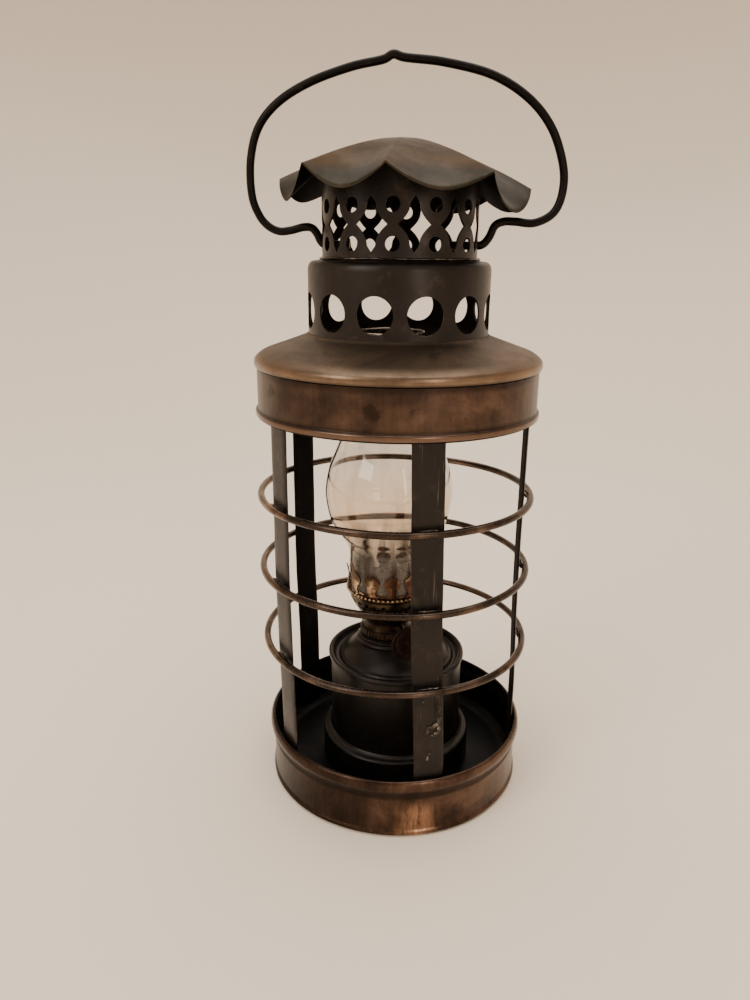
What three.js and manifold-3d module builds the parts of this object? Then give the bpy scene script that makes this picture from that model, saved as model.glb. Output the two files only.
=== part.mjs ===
// Cage lantern with an oil lamp: a base pan, five straps, three guard rings, a skirt band, a lift-off lid
// with a vent drum, a pierced crown, a fluted rain cap and a wire bail, and a small oil lamp inside.
// Millimetres, +Z up. The origin is at the centre of the base's underside, and the bail pivots about X.
import * as THREE from 'three';
import { mergeVertices } from 'three/addons/utils/BufferGeometryUtils.js';
import Module from 'manifold-3d';

const wasm = await Module();
wasm.setup();

// ---- driving dimensions -------------------------------------------------------------------------
const GAP = 0.3; // clearance kept between pieces that touch
const SHEET = 0.8; // sheet metal thickness
const ROUND = 36; // sides of the large turned pieces
const SMALL_ROUND = 24; // sides of the small turned pieces
const SPREADER_ROUND = 20;
const GLASS_ROUND = 28;

const BASE_RADIUS = 58.6; // outside of the base band
const BASE_BEAD_RADIUS = 60.2; // outside of the base's rim bead
const BASE_HEIGHT = 28.4;
const BASE_BEAD_BOTTOM = 21.8;
const FLOOR_Z = 4.6; // upper face of the pan's floor

const STRAP_WIDTH = 14;
const STRAP_THICKNESS = 1;
const STRAP_ANGLES = [18.9, 93, 168, -121.5, -52]; // degrees from the front (-Y) towards +X
const STRAP_OUTSIDE = 58.2 - STRAP_THICKNESS; // outer face of each strap, inside the bands
const STRAP_BOTTOM = FLOOR_Z + GAP;
const STRAP_TOP = 190;

const RING_WIRE = 1.55; // radius of the guard ring wire
const RING_RADIUS = 60.1; // centreline of the guard rings
const RINGS = { lower: 70.5, middle: 105.3, upper: 138.8 };

const SKIRT_BOTTOM = 174;
const SKIRT_TOP = 194.2;
const SKIRT_RADIUS = 59.5;
const SKIRT_BEAD_RADIUS = 60.6;

const LID_Z = SKIRT_TOP + GAP; // where the lid rests on the skirt
const SHOULDER_RADIUS = 60.8;
const SHOULDER_SLOPE = [[57.4, 200.7], [46, 204.6]]; // radius and height along the cover's gentle slope
const SHOULDER_TOP = 207.3;
const COLLAR_DEPTH = 7; // how far the lid's locating collar reaches into the skirt

const DRUM_RADIUS = 37.6;
const DRUM_BOTTOM = 205.4;
const DRUM_TOP = 237;
const DRUM_CORNER = 4;
const DRUM_HOLE_RADIUS = 7.2;
const DRUM_HOLE_Z = 217.4;
const DRUM_HOLES = 12;
const DRUM_HOLE_PHASE = 21;

const CROWN_RADIUS = 31.6;
const CROWN_BOTTOM = 238.2;
const CROWN_TOP = 268.2;
const LINKS = 12;
const LINK_DISC = 6.4; // radius of the disc at each end of a link
const LINK_HOLE = 2.75;
const LINK_NECK = 4; // width of a link at its waist
const LINK_LOWER_Z = 243.1;
const LINK_UPPER_Z = 256.9;
const CUSP_LOWER_Z = 240.2;
const CUSP_UPPER_Z = 259.8;

const CAP_APEX = 282.5;
const CAP_LOBES = 8;
const CAP_RIDGE_RADIUS = 52; // where each pinched ridge ends
const CAP_LOBE_RADIUS = 50; // where each lobe droops to
const CAP_RIDGE_DROP = 17;
const CAP_LOBE_DROP = 25;
const CAP_CROWN_RADIUS = 9; // how broadly the cap's top is rounded
const CAP_PHASE = -1; // degrees from the front to the nearest ridge

const BAIL_WIRE = 1.65;
const PIVOT_Z = LINK_LOWER_Z;

const LAMP_X = 0.7; // the lamp stands a little off the lantern's axis
const BURNER_X = -2.8; // and the burner a little off the lamp's axis
const FOOT_RADIUS = 35.3;
const FOOT_TOP = 20;
const FONT_RADIUS = 31;
const FONT_TOP = 59.8;
const FONT_WALL = 0.9;
const FONT_TOP_RISE = 5; // how far the dished top climbs to the collar
const BURNER_SHEET = 0.7;
const COLLAR_RADIUS = 13;
const COLLAR_FLANGE = 18;
const CUP_BOTTOM = 67.2;
const BASKET_BOTTOM = 79.3;
const BASKET_TOP = 91.8;
const SEAT_Z = BASKET_TOP + GAP; // underside of the gallery's seat
const BASKET_RADIUS = 18;
const BASKET_BELLY = [16.6, 83.6]; // radius and height where the basket's wall turns up
const PRONG_COUNT = 12;
const PRONG_ROOT_Z = 97.4; // lowest point of the notches between prongs
const PRONG_BULGE_Z = 100; // where the prongs stand furthest out
const PRONG_TIP_Z = 108;
const SPREADER_RADIUS = 12.1;
const SPREADER_RISE = 6.9;
const SPREADER_SHEET = 0.6;
const SLOT_DEPTH = 12; // of the cutter that slots the spreader
const CHIMNEY_WALL = 1.5;
const CHIMNEY_TOP = 208.8;
const CHIMNEY_BOTTOM = SEAT_Z + BURNER_SHEET + GAP;
const WICK_HALF_THICKNESS = 0.8;
const SPUR_RADIUS = 2.8; // the spur wheel that feeds the wick
const SHAFT_RADIUS = 1;
const SHAFT_TAIL = 3; // how far the shaft runs past the burner's axis
const SHAFT_Z = 76;
const SHAFT_X = WICK_HALF_THICKNESS + SPUR_RADIUS + GAP; // the shaft runs beside the wick's face
const FEED_ANGLE = 18.5; // degrees from the front towards +X: the way the wick shaft points
const TUBE_HALF_X = 1.9; // wick tube, half its thickness and half its width
const TUBE_HALF_Y = 6;
const TUBE_BOTTOM = 62;
const TUBE_TOP = 96;
const FLANGE_WIDTH = 17; // of the wick tube's square flange
const FLANGE_THICKNESS = 0.8;
const WICK_BOTTOM = 13;
const TUBE_HOLE = 7.6; // hole that the tube and the spur wheel pass through
const WHEEL_RADIUS = 8.3;
const WHEEL_THICKNESS = 1.2;
const WHEEL_REACH = 28; // thumbwheel's distance in front of the burner's axis

const root = new THREE.Group();

// ---- helpers ------------------------------------------------------------------------------------
const rad = THREE.MathUtils.degToRad;

function finish(r, g, b, roughness, metalness) {
  return new THREE.MeshStandardMaterial({
    color: new THREE.Color().setRGB(r, g, b, THREE.SRGBColorSpace),
    roughness,
    metalness,
  });
}

const copper = () => finish(0.5, 0.35, 0.24, 0.42, 0.9);
const darkTin = () => finish(0.2, 0.16, 0.14, 0.45, 0.8);
const strapMetal = () => finish(0.24, 0.2, 0.18, 0.5, 0.8);
const bronze = () => finish(0.38, 0.27, 0.19, 0.4, 0.9);
const brass = () => finish(0.45, 0.35, 0.2, 0.5, 0.9);
const fontMetal = () => finish(0.13, 0.12, 0.12, 0.4, 0.7);

function add(name, geometry, material, parent = root) {
  const mesh = new THREE.Mesh(geometry, material);
  mesh.name = name;
  parent.add(mesh);
  return mesh;
}

// A turned solid about Z from a closed list of [radius, z] points.
function turned(points, sides = ROUND) {
  const closed = [...points, points[0]].map(([r, z]) => new THREE.Vector2(r, z));
  const geometry = new THREE.LatheGeometry(closed, sides);
  geometry.rotateX(Math.PI / 2);
  return oriented(geometry);
}

// A turned solid whose list of points starts and ends on the axis.
function turnedSolid(points, sides = ROUND) {
  const geometry = new THREE.LatheGeometry(points.map(([r, z]) => new THREE.Vector2(r, z)), sides);
  geometry.rotateX(Math.PI / 2);
  return oriented(geometry);
}

// Faces pointing out, whichever way round the points were given.
function oriented(geometry) {
  const welded = weld(geometry);
  const p = welded.attributes.position;
  const index = welded.index.array;
  const a = new THREE.Vector3();
  const b = new THREE.Vector3();
  const c = new THREE.Vector3();
  let volume = 0;
  for (let i = 0; i < index.length; i += 3) {
    a.fromBufferAttribute(p, index[i]);
    b.fromBufferAttribute(p, index[i + 1]);
    c.fromBufferAttribute(p, index[i + 2]);
    volume += a.dot(b.cross(c));
  }
  if (volume < 0) {
    for (let i = 0; i < index.length; i += 3) {
      [index[i], index[i + 1]] = [index[i + 1], index[i]];
    }
  }
  return welded;
}

function weld(geometry) {
  const bare = geometry.clone();
  bare.deleteAttribute('normal');
  bare.deleteAttribute('uv');
  return mergeVertices(bare, 1e-4);
}

// A sheet of even thickness that follows a list of [radius, z] points, as a closed list.
function shell(points, thickness = SHEET) {
  const side = points.map(([r, z], i) => {
    const [r0, z0] = points[Math.max(i - 1, 0)];
    const [r1, z1] = points[Math.min(i + 1, points.length - 1)];
    const length = Math.hypot(r1 - r0, z1 - z0);
    return [r - ((z1 - z0) / length) * thickness, z + ((r1 - r0) / length) * thickness];
  });
  return [...points, ...side.reverse()];
}

function toManifold(geometry) {
  const welded = oriented(geometry);
  return new wasm.Manifold(
    new wasm.Mesh({
      numProp: 3,
      vertProperties: new Float32Array(welded.attributes.position.array),
      triVerts: new Uint32Array(welded.index.array),
    }),
  );
}

function fromManifold(solid) {
  const mesh = solid.getMesh();
  const geometry = new THREE.BufferGeometry();
  geometry.setAttribute('position', new THREE.BufferAttribute(mesh.vertProperties, 3));
  geometry.setIndex(new THREE.BufferAttribute(mesh.triVerts, 1));
  return geometry;
}

function cut(geometry, cutters) {
  let solid = toManifold(geometry);
  for (const cutter of cutters) solid = solid.subtract(toManifold(cutter));
  return fromManifold(solid);
}

function join(geometries) {
  let solid = toManifold(geometries[0]);
  for (const geometry of geometries.slice(1)) solid = solid.add(toManifold(geometry));
  return fromManifold(solid);
}

// Extrudes a shape drawn in (x, z) outwards from the axis, then turns it to an angle from the front.
function radial(shape, from, to, angle, curveSegments = 5) {
  const geometry = new THREE.ExtrudeGeometry(shape, {
    depth: to - from,
    bevelEnabled: false,
    curveSegments,
  });
  geometry.rotateX(Math.PI / 2);
  geometry.translate(0, -from, 0);
  geometry.rotateZ(rad(angle));
  return geometry;
}

function roundWire(curve, radius, steps, sides) {
  const section = new THREE.Shape();
  for (let i = 0; i < sides; i += 1) {
    const turn = ((i + 0.5) / sides) * 2 * Math.PI;
    const x = radius * Math.cos(turn);
    const y = radius * Math.sin(turn);
    if (i === 0) section.moveTo(x, y);
    else section.lineTo(x, y);
  }
  section.closePath();
  const geometry = new THREE.ExtrudeGeometry(section, { steps, extrudePath: curve, bevelEnabled: false });
  return oriented(geometry);
}

// ---- base pan -----------------------------------------------------------------------------------
function baseBand() {
  const inner = BASE_RADIUS - SHEET;
  return turned([
    [inner - 4, 0],
    [BASE_RADIUS, 0],
    [BASE_RADIUS + 0.4, 1],
    [BASE_RADIUS, 2.2],
    [BASE_RADIUS, BASE_BEAD_BOTTOM],
    [BASE_BEAD_RADIUS, BASE_BEAD_BOTTOM + 2],
    [BASE_BEAD_RADIUS, BASE_HEIGHT - 2],
    [BASE_RADIUS, BASE_HEIGHT],
    [inner, BASE_HEIGHT],
    [inner, 1],
    [inner - 4, 1],
  ]);
}

function baseFloor() {
  const outer = BASE_RADIUS - SHEET - GAP;
  return turnedSolid([
    [0, FLOOR_Z - SHEET],
    [outer - 5, FLOOR_Z - SHEET],
    [outer - 3.2, 1 + GAP],
    [outer, 1 + GAP],
    [outer, FLOOR_Z],
    [0, FLOOR_Z],
  ]);
}

// ---- cage ---------------------------------------------------------------------------------------
function strap() {
  const geometry = new THREE.BoxGeometry(STRAP_WIDTH, STRAP_THICKNESS, STRAP_TOP - STRAP_BOTTOM);
  const out = Math.sqrt(STRAP_OUTSIDE ** 2 - (STRAP_WIDTH / 2) ** 2);
  geometry.translate(0, -out + STRAP_THICKNESS / 2, (STRAP_TOP + STRAP_BOTTOM) / 2);
  return geometry;
}

function guardRing() {
  const sides = 6;
  const points = [];
  for (let i = 0; i < sides; i += 1) {
    const turn = ((i + 0.5) / sides) * 2 * Math.PI;
    points.push([RING_RADIUS + RING_WIRE * Math.cos(turn), RING_WIRE * Math.sin(turn)]);
  }
  return turned(points);
}

function skirtBand() {
  const inner = SKIRT_RADIUS - SHEET;
  return turned([
    [inner, SKIRT_BOTTOM],
    [SKIRT_RADIUS, SKIRT_BOTTOM],
    [SKIRT_BEAD_RADIUS, SKIRT_BOTTOM + 1.2],
    [SKIRT_BEAD_RADIUS, SKIRT_BOTTOM + 2.6],
    [SKIRT_RADIUS, SKIRT_BOTTOM + 3.8],
    [SKIRT_RADIUS, SKIRT_TOP],
    [inner, SKIRT_TOP],
  ]);
}

// ---- lid ----------------------------------------------------------------------------------------
function shoulderCover() {
  return turned(
    shell([
      [SKIRT_RADIUS - SHEET, LID_Z],
      [SHOULDER_RADIUS - 0.4, LID_Z],
      [SHOULDER_RADIUS, LID_Z + 2.4],
      [SHOULDER_RADIUS - 1.1, LID_Z + 4.5],
      ...SHOULDER_SLOPE,
      [DRUM_RADIUS + SHEET, SHOULDER_TOP],
    ]),
  );
}

function lidCollar() {
  const outer = SKIRT_RADIUS - SHEET - GAP;
  return turned([
    [outer - SHEET, SKIRT_TOP - COLLAR_DEPTH],
    [outer, SKIRT_TOP - COLLAR_DEPTH],
    [outer, LID_Z + SHEET + GAP + 2],
    [outer - SHEET, LID_Z + SHEET + GAP + 2],
  ]);
}

function ventDrum() {
  const wall = turned(
    shell([
      [DRUM_RADIUS, DRUM_BOTTOM],
      [DRUM_RADIUS, DRUM_TOP - DRUM_CORNER],
      [DRUM_RADIUS - DRUM_CORNER * 0.3, DRUM_TOP - DRUM_CORNER * 0.3],
      [DRUM_RADIUS - DRUM_CORNER, DRUM_TOP],
      [CROWN_RADIUS - 2.2, DRUM_TOP],
    ]),
    ROUND,
  );
  const hole = new THREE.Shape();
  hole.absarc(0, DRUM_HOLE_Z, DRUM_HOLE_RADIUS, 0, 2 * Math.PI, false);
  const holes = [];
  for (let i = 0; i < DRUM_HOLES; i += 1) {
    const angle = DRUM_HOLE_PHASE + (i * 360) / DRUM_HOLES;
    holes.push(radial(hole, DRUM_RADIUS - 4, DRUM_RADIUS + 4, angle, 7));
  }
  return cut(wall, holes);
}

// The opening between two links: four concave arcs round the four link discs, with a cusp at each end.
function crownOpening() {
  const pitch = (2 * Math.PI * CROWN_RADIUS) / LINKS;
  const waist = (pitch - LINK_NECK) / 2;
  const slot = pitch / 2 - LINK_DISC;
  const middle = (LINK_LOWER_Z + LINK_UPPER_Z) / 2;
  const shape = new THREE.Shape();
  shape.moveTo(0, CUSP_LOWER_Z);
  shape.quadraticCurveTo(slot * 0.7, CUSP_LOWER_Z + 1.2, slot, LINK_LOWER_Z);
  shape.quadraticCurveTo(slot + 0.6, LINK_LOWER_Z + 4.4, waist, middle);
  shape.quadraticCurveTo(slot + 0.6, LINK_UPPER_Z - 4.4, slot, LINK_UPPER_Z);
  shape.quadraticCurveTo(slot * 0.7, CUSP_UPPER_Z - 1.2, 0, CUSP_UPPER_Z);
  shape.quadraticCurveTo(-slot * 0.7, CUSP_UPPER_Z - 1.2, -slot, LINK_UPPER_Z);
  shape.quadraticCurveTo(-slot - 0.6, LINK_UPPER_Z - 4.4, -waist, middle);
  shape.quadraticCurveTo(-slot - 0.6, LINK_LOWER_Z + 4.4, -slot, LINK_LOWER_Z);
  shape.quadraticCurveTo(-slot * 0.7, CUSP_LOWER_Z + 1.2, 0, CUSP_LOWER_Z);
  return shape;
}

function crownGallery() {
  const inner = CROWN_RADIUS - SHEET;
  const ring = turned([
    [inner, CROWN_BOTTOM],
    [CROWN_RADIUS, CROWN_BOTTOM],
    [CROWN_RADIUS, CROWN_TOP],
    [inner, CROWN_TOP],
  ]);
  const cutters = [];
  for (let i = 0; i < LINKS; i += 1) {
    const link = (i * 360) / LINKS;
    cutters.push(radial(crownOpening(), inner - 3, CROWN_RADIUS + 3, link + 180 / LINKS, 2));
    for (const z of [LINK_LOWER_Z, LINK_UPPER_Z]) {
      const hole = new THREE.Shape();
      hole.absarc(0, z, LINK_HOLE, 0, 2 * Math.PI, false);
      cutters.push(radial(hole, inner - 3, CROWN_RADIUS + 3, link, 3));
    }
  }
  return cut(ring, cutters);
}

// The cap's upper face at a share of its radius (0 to 1) and a phase in lobes, whole on the ridges.
function capPoint(share, phase) {
  const lobe = (1 - Math.cos(phase * 2 * Math.PI)) / 2;
  const flare = lobe * share ** 2.2;
  const r = share * (CAP_RIDGE_RADIUS + (CAP_LOBE_RADIUS - CAP_RIDGE_RADIUS) * flare);
  const span = Math.hypot(CAP_RIDGE_RADIUS, CAP_CROWN_RADIUS) - CAP_CROWN_RADIUS;
  const rounded = (Math.hypot(r, CAP_CROWN_RADIUS) - CAP_CROWN_RADIUS) / span;
  return [r, CAP_APEX - rounded * CAP_RIDGE_DROP - flare * (CAP_LOBE_DROP - CAP_RIDGE_DROP)];
}

function rainCap() {
  const around = CAP_LOBES * 6;
  const rings = [0.16, 0.4, 0.66, 0.86, 1];
  const position = [];
  const index = [];
  const layer = 1 + around * rings.length;
  for (const lower of [0, SHEET]) {
    position.push(0, 0, CAP_APEX - lower);
    for (const share of rings) {
      for (let i = 0; i < around; i += 1) {
        const turn = (i / around) * 2 * Math.PI;
        const [r, z] = capPoint(share, (turn * CAP_LOBES) / (2 * Math.PI));
        const angle = turn + rad(CAP_PHASE);
        position.push(r * Math.sin(angle), -r * Math.cos(angle), z - lower);
      }
    }
  }
  const at = (side, ring, i) => side * layer + 1 + ring * around + (i % around);
  for (let i = 0; i < around; i += 1) {
    index.push(0, at(0, 0, i), at(0, 0, i + 1));
    index.push(layer, at(1, 0, i + 1), at(1, 0, i));
    for (let ring = 0; ring + 1 < rings.length; ring += 1) {
      index.push(at(0, ring, i), at(0, ring + 1, i), at(0, ring + 1, i + 1));
      index.push(at(0, ring, i), at(0, ring + 1, i + 1), at(0, ring, i + 1));
      index.push(at(1, ring, i), at(1, ring + 1, i + 1), at(1, ring + 1, i));
      index.push(at(1, ring, i), at(1, ring, i + 1), at(1, ring + 1, i + 1));
    }
    const last = rings.length - 1;
    index.push(at(0, last, i), at(1, last, i), at(1, last, i + 1));
    index.push(at(0, last, i), at(1, last, i + 1), at(0, last, i + 1));
  }
  const geometry = new THREE.BufferGeometry();
  geometry.setAttribute('position', new THREE.Float32BufferAttribute(position, 3));
  geometry.setIndex(index);
  return oriented(geometry);
}

// The bail's route in the X-Z plane, from the left pivot end over the peak to the right pivot end.
function bailHandle() {
  const route = [
    [-20.5, PIVOT_Z],
    [-33.5, PIVOT_Z],
    [-36.5, 245],
    [-39.5, 246.9],
    [-46, 246.4],
    [-52, 247.5],
    [-57.5, 252.6],
    [-61.2, 262],
    [-61.2, 275],
    [-57.5, 287],
    [-49, 296],
    [-36, 303],
    [-20, 308],
    [-8, 310.3],
    [-3.7, 312.3],
    [1, 310.8],
    [16, 309],
    [34, 304.5],
    [48, 296.5],
    [57.5, 286],
    [63, 273],
    [63.6, 263],
    [60.5, 255.5],
    [53.5, 251.2],
    [46, 251],
    [39.6, 250.2],
    [36.8, 245.6],
    [33.5, PIVOT_Z],
    [20.5, PIVOT_Z],
  ];
  const curve = new THREE.CatmullRomCurve3(
    route.map(([x, z]) => new THREE.Vector3(x, 0, z)),
    false,
    'centripetal',
  );
  return roundWire(curve, BAIL_WIRE, 56, 8);
}

// ---- lamp ---------------------------------------------------------------------------------------
function lampFoot() {
  return turned([
    [FOOT_RADIUS - 6, FLOOR_Z + GAP],
    [FOOT_RADIUS, FLOOR_Z + GAP],
    [FOOT_RADIUS, FOOT_TOP - 2.5],
    [FOOT_RADIUS - 2.4, FOOT_TOP],
    [FONT_RADIUS + GAP, FOOT_TOP],
    [FONT_RADIUS + GAP, FOOT_TOP - SHEET],
    [FOOT_RADIUS - SHEET, FOOT_TOP - 3],
    [FOOT_RADIUS - SHEET, FLOOR_Z + GAP + 1],
    [FOOT_RADIUS - 6, FLOOR_Z + GAP + 1],
  ]);
}

function fontTank() {
  const bottom = FLOOR_Z + 2;
  return turnedSolid([
    [0, bottom],
    [FONT_RADIUS, bottom],
    [FONT_RADIUS, FONT_TOP - 2.2],
    [FONT_RADIUS + 1.1, FONT_TOP - 1.8],
    [FONT_RADIUS + 1.1, FONT_TOP - 0.4],
    [FONT_RADIUS, FONT_TOP],
    [FONT_RADIUS - FONT_WALL, FONT_TOP],
    [FONT_RADIUS - FONT_WALL, bottom + FONT_WALL],
    [0, bottom + FONT_WALL],
  ]);
}

function fontTop() {
  const outer = FONT_RADIUS - FONT_WALL - SHEET - GAP;
  return turned(
    shell([
      [outer, FONT_TOP - 0.6],
      [outer - 2, FONT_TOP - 2.2],
      [outer - 7, FONT_TOP - 1.4],
      [COLLAR_RADIUS + 6, FONT_TOP + FONT_TOP_RISE / 2],
      [COLLAR_RADIUS + 1, FONT_TOP + FONT_TOP_RISE],
    ]),
    SMALL_ROUND,
  );
}

function fontCollar() {
  const flange = FONT_TOP + FONT_TOP_RISE + SHEET + GAP;
  return turned(
    [
      [COLLAR_RADIUS - 1.8, flange],
      [COLLAR_FLANGE, flange],
      [COLLAR_FLANGE, flange + 0.7],
      [COLLAR_RADIUS - 0.8, flange + 0.9],
      [COLLAR_RADIUS - 0.8, flange + 3.6],
      [COLLAR_RADIUS - 1.8, flange + 3.6],
    ],
    SMALL_ROUND,
  );
}

function burnerCup() {
  const bottom = CUP_BOTTOM;
  const top = BASKET_BOTTOM - GAP;
  const cup = turned(
    [
      [COLLAR_RADIUS - 0.5, bottom],
      [COLLAR_RADIUS + 0.7, bottom],
      [COLLAR_RADIUS + 0.7, bottom + 5],
      [COLLAR_RADIUS - 0.8, bottom + 6],
      [COLLAR_RADIUS - 0.8, top - 1],
      [COLLAR_RADIUS + 0.4, top],
      [TUBE_HOLE, top],
      [TUBE_HOLE, top - 0.8],
      [COLLAR_RADIUS - 1.8, top - 0.8],
      [COLLAR_RADIUS - 1.8, bottom + 5],
      [COLLAR_RADIUS - 0.5, bottom + 4.4],
    ],
    SMALL_ROUND,
  );
  const bore = new THREE.Shape();
  bore.absarc(SHAFT_X, SHAFT_Z, SHAFT_RADIUS + GAP, 0, 2 * Math.PI, false);
  return cut(cup, [radial(bore, TUBE_HOLE + 0.4, COLLAR_RADIUS + 2, FEED_ANGLE, 4)]);
}

function burnerBasket() {
  return turned(
    shell([
      [BASKET_RADIUS + 0.6, BASKET_TOP],
      [BASKET_RADIUS, BASKET_TOP - 2.4],
      BASKET_BELLY,
      [COLLAR_RADIUS, BASKET_BOTTOM],
      [TUBE_HOLE, BASKET_BOTTOM],
    ], -BURNER_SHEET),
    SMALL_ROUND,
  );
}

// A scalloped coronet: a seat that carries the chimney, and a wall cut into prongs that hold its foot.
function prongGallery() {
  const wall = turned(
    shell([
      [BASKET_RADIUS - 5.5, SEAT_Z],
      [BASKET_RADIUS + 1.2, SEAT_Z],
      [BASKET_RADIUS + 2.6, PRONG_BULGE_Z],
      [BASKET_RADIUS + 1.4, PRONG_TIP_Z],
    ], BURNER_SHEET),
    PRONG_COUNT * 3,
  );
  const notch = new THREE.Shape();
  const half = (Math.PI * (BASKET_RADIUS + 2)) / PRONG_COUNT - 1.6;
  notch.moveTo(-half, PRONG_TIP_Z + 2);
  notch.quadraticCurveTo(-half, PRONG_ROOT_Z + 0.6, 0, PRONG_ROOT_Z);
  notch.quadraticCurveTo(half, PRONG_ROOT_Z + 0.6, half, PRONG_TIP_Z + 2);
  notch.closePath();
  const notches = [];
  for (let i = 0; i < PRONG_COUNT; i += 1) {
    notches.push(radial(notch, BASKET_RADIUS - 4, BASKET_RADIUS + 6, (i * 360) / PRONG_COUNT, 2));
  }
  return cut(wall, notches);
}

// A flat tube with a window for the spur wheel and a flange that rests on the basket's floor.
function wickTube() {
  const height = TUBE_TOP - TUBE_BOTTOM;
  const middle = TUBE_BOTTOM + height / 2;
  const body = new THREE.BoxGeometry(2 * TUBE_HALF_X, 2 * TUBE_HALF_Y, height);
  body.translate(0, 0, middle);
  const flange = new THREE.BoxGeometry(FLANGE_WIDTH, FLANGE_WIDTH, FLANGE_THICKNESS);
  flange.translate(0, 0, BASKET_BOTTOM + BURNER_SHEET + GAP + FLANGE_THICKNESS / 2);
  const bore = new THREE.BoxGeometry(2 * TUBE_HALF_X - 1, 2 * TUBE_HALF_Y - 1, height + 2);
  bore.translate(0, 0, middle);
  const window = new THREE.BoxGeometry(2, 3.2, 2 * SPUR_RADIUS + 0.8);
  window.translate(TUBE_HALF_X, 0, SHAFT_Z);
  return cut(join([body, flange]), [bore, window]);
}

function wick() {
  const height = TUBE_TOP + 1.5 - WICK_BOTTOM;
  const geometry = new THREE.BoxGeometry(2 * WICK_HALF_THICKNESS, 2 * TUBE_HALF_Y - 2, height);
  geometry.translate(0, 0, WICK_BOTTOM + height / 2);
  return geometry;
}

// A dome inside the gallery, with a slot for the wick tube.
function flameSpreader() {
  const dome = turned(
    shell([
      [SPREADER_RADIUS, SEAT_Z],
      [SPREADER_RADIUS, SEAT_Z + 1.6],
      [10, SEAT_Z + 4.5],
      [6, SEAT_Z + 6.3],
      [2, SEAT_Z + SPREADER_RISE],
    ], SPREADER_SHEET),
    SPREADER_ROUND,
  );
  const slot = new THREE.BoxGeometry(2 * TUBE_HALF_X + 1.2, 2 * TUBE_HALF_Y + 1.2, SLOT_DEPTH);
  slot.translate(0, 0, SEAT_Z + SPREADER_RISE);
  slot.rotateZ(rad(FEED_ANGLE));
  return cut(dome, [slot]);
}

function wickShaft() {
  const front = WHEEL_REACH - GAP;
  const shaft = new THREE.CylinderGeometry(SHAFT_RADIUS, SHAFT_RADIUS, front + SHAFT_TAIL, 12);
  shaft.translate(SHAFT_X, -(front - SHAFT_TAIL) / 2, SHAFT_Z);
  return shaft;
}

// A toothed disc with its axis along Y, centred on the shaft.
function toothed(radius, toothDepth, teeth) {
  const outline = new THREE.Shape();
  for (let i = 0; i < teeth * 2; i += 1) {
    const r = i % 2 ? radius : radius - toothDepth;
    const turn = (i / teeth) * Math.PI;
    const x = SHAFT_X + r * Math.cos(turn);
    const z = SHAFT_Z + r * Math.sin(turn);
    if (i === 0) outline.moveTo(x, z);
    else outline.lineTo(x, z);
  }
  outline.closePath();
  return outline;
}

function spurWheel() {
  const outline = toothed(SPUR_RADIUS, 0.7, 8);
  const bore = new THREE.Path();
  bore.absarc(SHAFT_X, SHAFT_Z, SHAFT_RADIUS + GAP, 0, 2 * Math.PI, true);
  outline.holes.push(bore);
  return radial(outline, -1, 1, 0, 6);
}

function thumbwheel() {
  return radial(toothed(WHEEL_RADIUS, 0.5, 20), WHEEL_REACH, WHEEL_REACH + WHEEL_THICKNESS, 0);
}

function glassChimney() {
  const profile = [
    [16.1, CHIMNEY_BOTTOM],
    [17.6, CHIMNEY_BOTTOM],
    [17.6, 110.6],
    [22.4, 118.6],
    [27.2, 128],
    [28.4, 138.6],
    [26.6, 149],
    [22.2, 161],
    [18.2, 174],
    [15.2, 192],
    [14.3, CHIMNEY_TOP],
  ];
  const inside = profile.slice(2).map(([r, z]) => [r - CHIMNEY_WALL, z]).reverse();
  return turned([...profile, ...inside], GLASS_ROUND);
}

// ---- assembly -----------------------------------------------------------------------------------
add('base_band', baseBand(), copper());
add('base_floor', baseFloor(), darkTin());
STRAP_ANGLES.forEach((angle, i) => {
  add(`strap_${i + 1}`, strap(), strapMetal()).rotation.z = rad(angle);
});
for (const [level, z] of Object.entries(RINGS)) {
  add(`guard_ring_${level}`, guardRing(), bronze()).position.z = z;
}
add('skirt_band', skirtBand(), copper());

const lid = new THREE.Group();
root.add(lid);
add('shoulder_cover', shoulderCover(), copper(), lid);
add('lid_collar', lidCollar(), darkTin(), lid);
add('vent_drum', ventDrum(), darkTin(), lid);
add('crown_gallery', crownGallery(), darkTin(), lid);
add('rain_cap', rainCap(), copper(), lid);
add('bail_handle', bailHandle(), darkTin(), lid);

const lamp = new THREE.Group();
lamp.position.x = LAMP_X;
root.add(lamp);
add('lamp_foot', lampFoot(), fontMetal(), lamp);
add('font_tank', fontTank(), fontMetal(), lamp);
add('font_top', fontTop(), fontMetal(), lamp);

const burner = new THREE.Group();
burner.position.x = BURNER_X - LAMP_X;
lamp.add(burner);
add('font_collar', fontCollar(), brass(), burner);
add('burner_cup', burnerCup(), brass(), burner);
add('burner_basket', burnerBasket(), brass(), burner);
add('prong_gallery', prongGallery(), brass(), burner);
add('flame_spreader', flameSpreader(), brass(), burner);
add('glass_chimney', glassChimney(), finish(0.9, 0.88, 0.85, 0.05, 0), burner);

const feed = new THREE.Group();
feed.rotation.z = rad(FEED_ANGLE);
burner.add(feed);
add('wick_tube', wickTube(), brass(), feed);
add('wick', wick(), finish(0.75, 0.7, 0.6, 0.95, 0), feed);
add('wick_shaft', wickShaft(), brass(), feed);
add('spur_wheel', spurWheel(), brass(), feed);
add('thumbwheel', thumbwheel(), finish(0.3, 0.18, 0.14, 0.4, 0.8), feed);

export default root;
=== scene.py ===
"""Looks of the cage lantern: finer sheet metal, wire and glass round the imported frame, with procedural
metals, solder, soot and glass, a pale floor and soft studio light. Metres, in the frame's own axes."""
import functools
import math
import random

import bmesh
import bpy
from mathutils import Matrix, Vector, noise


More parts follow.
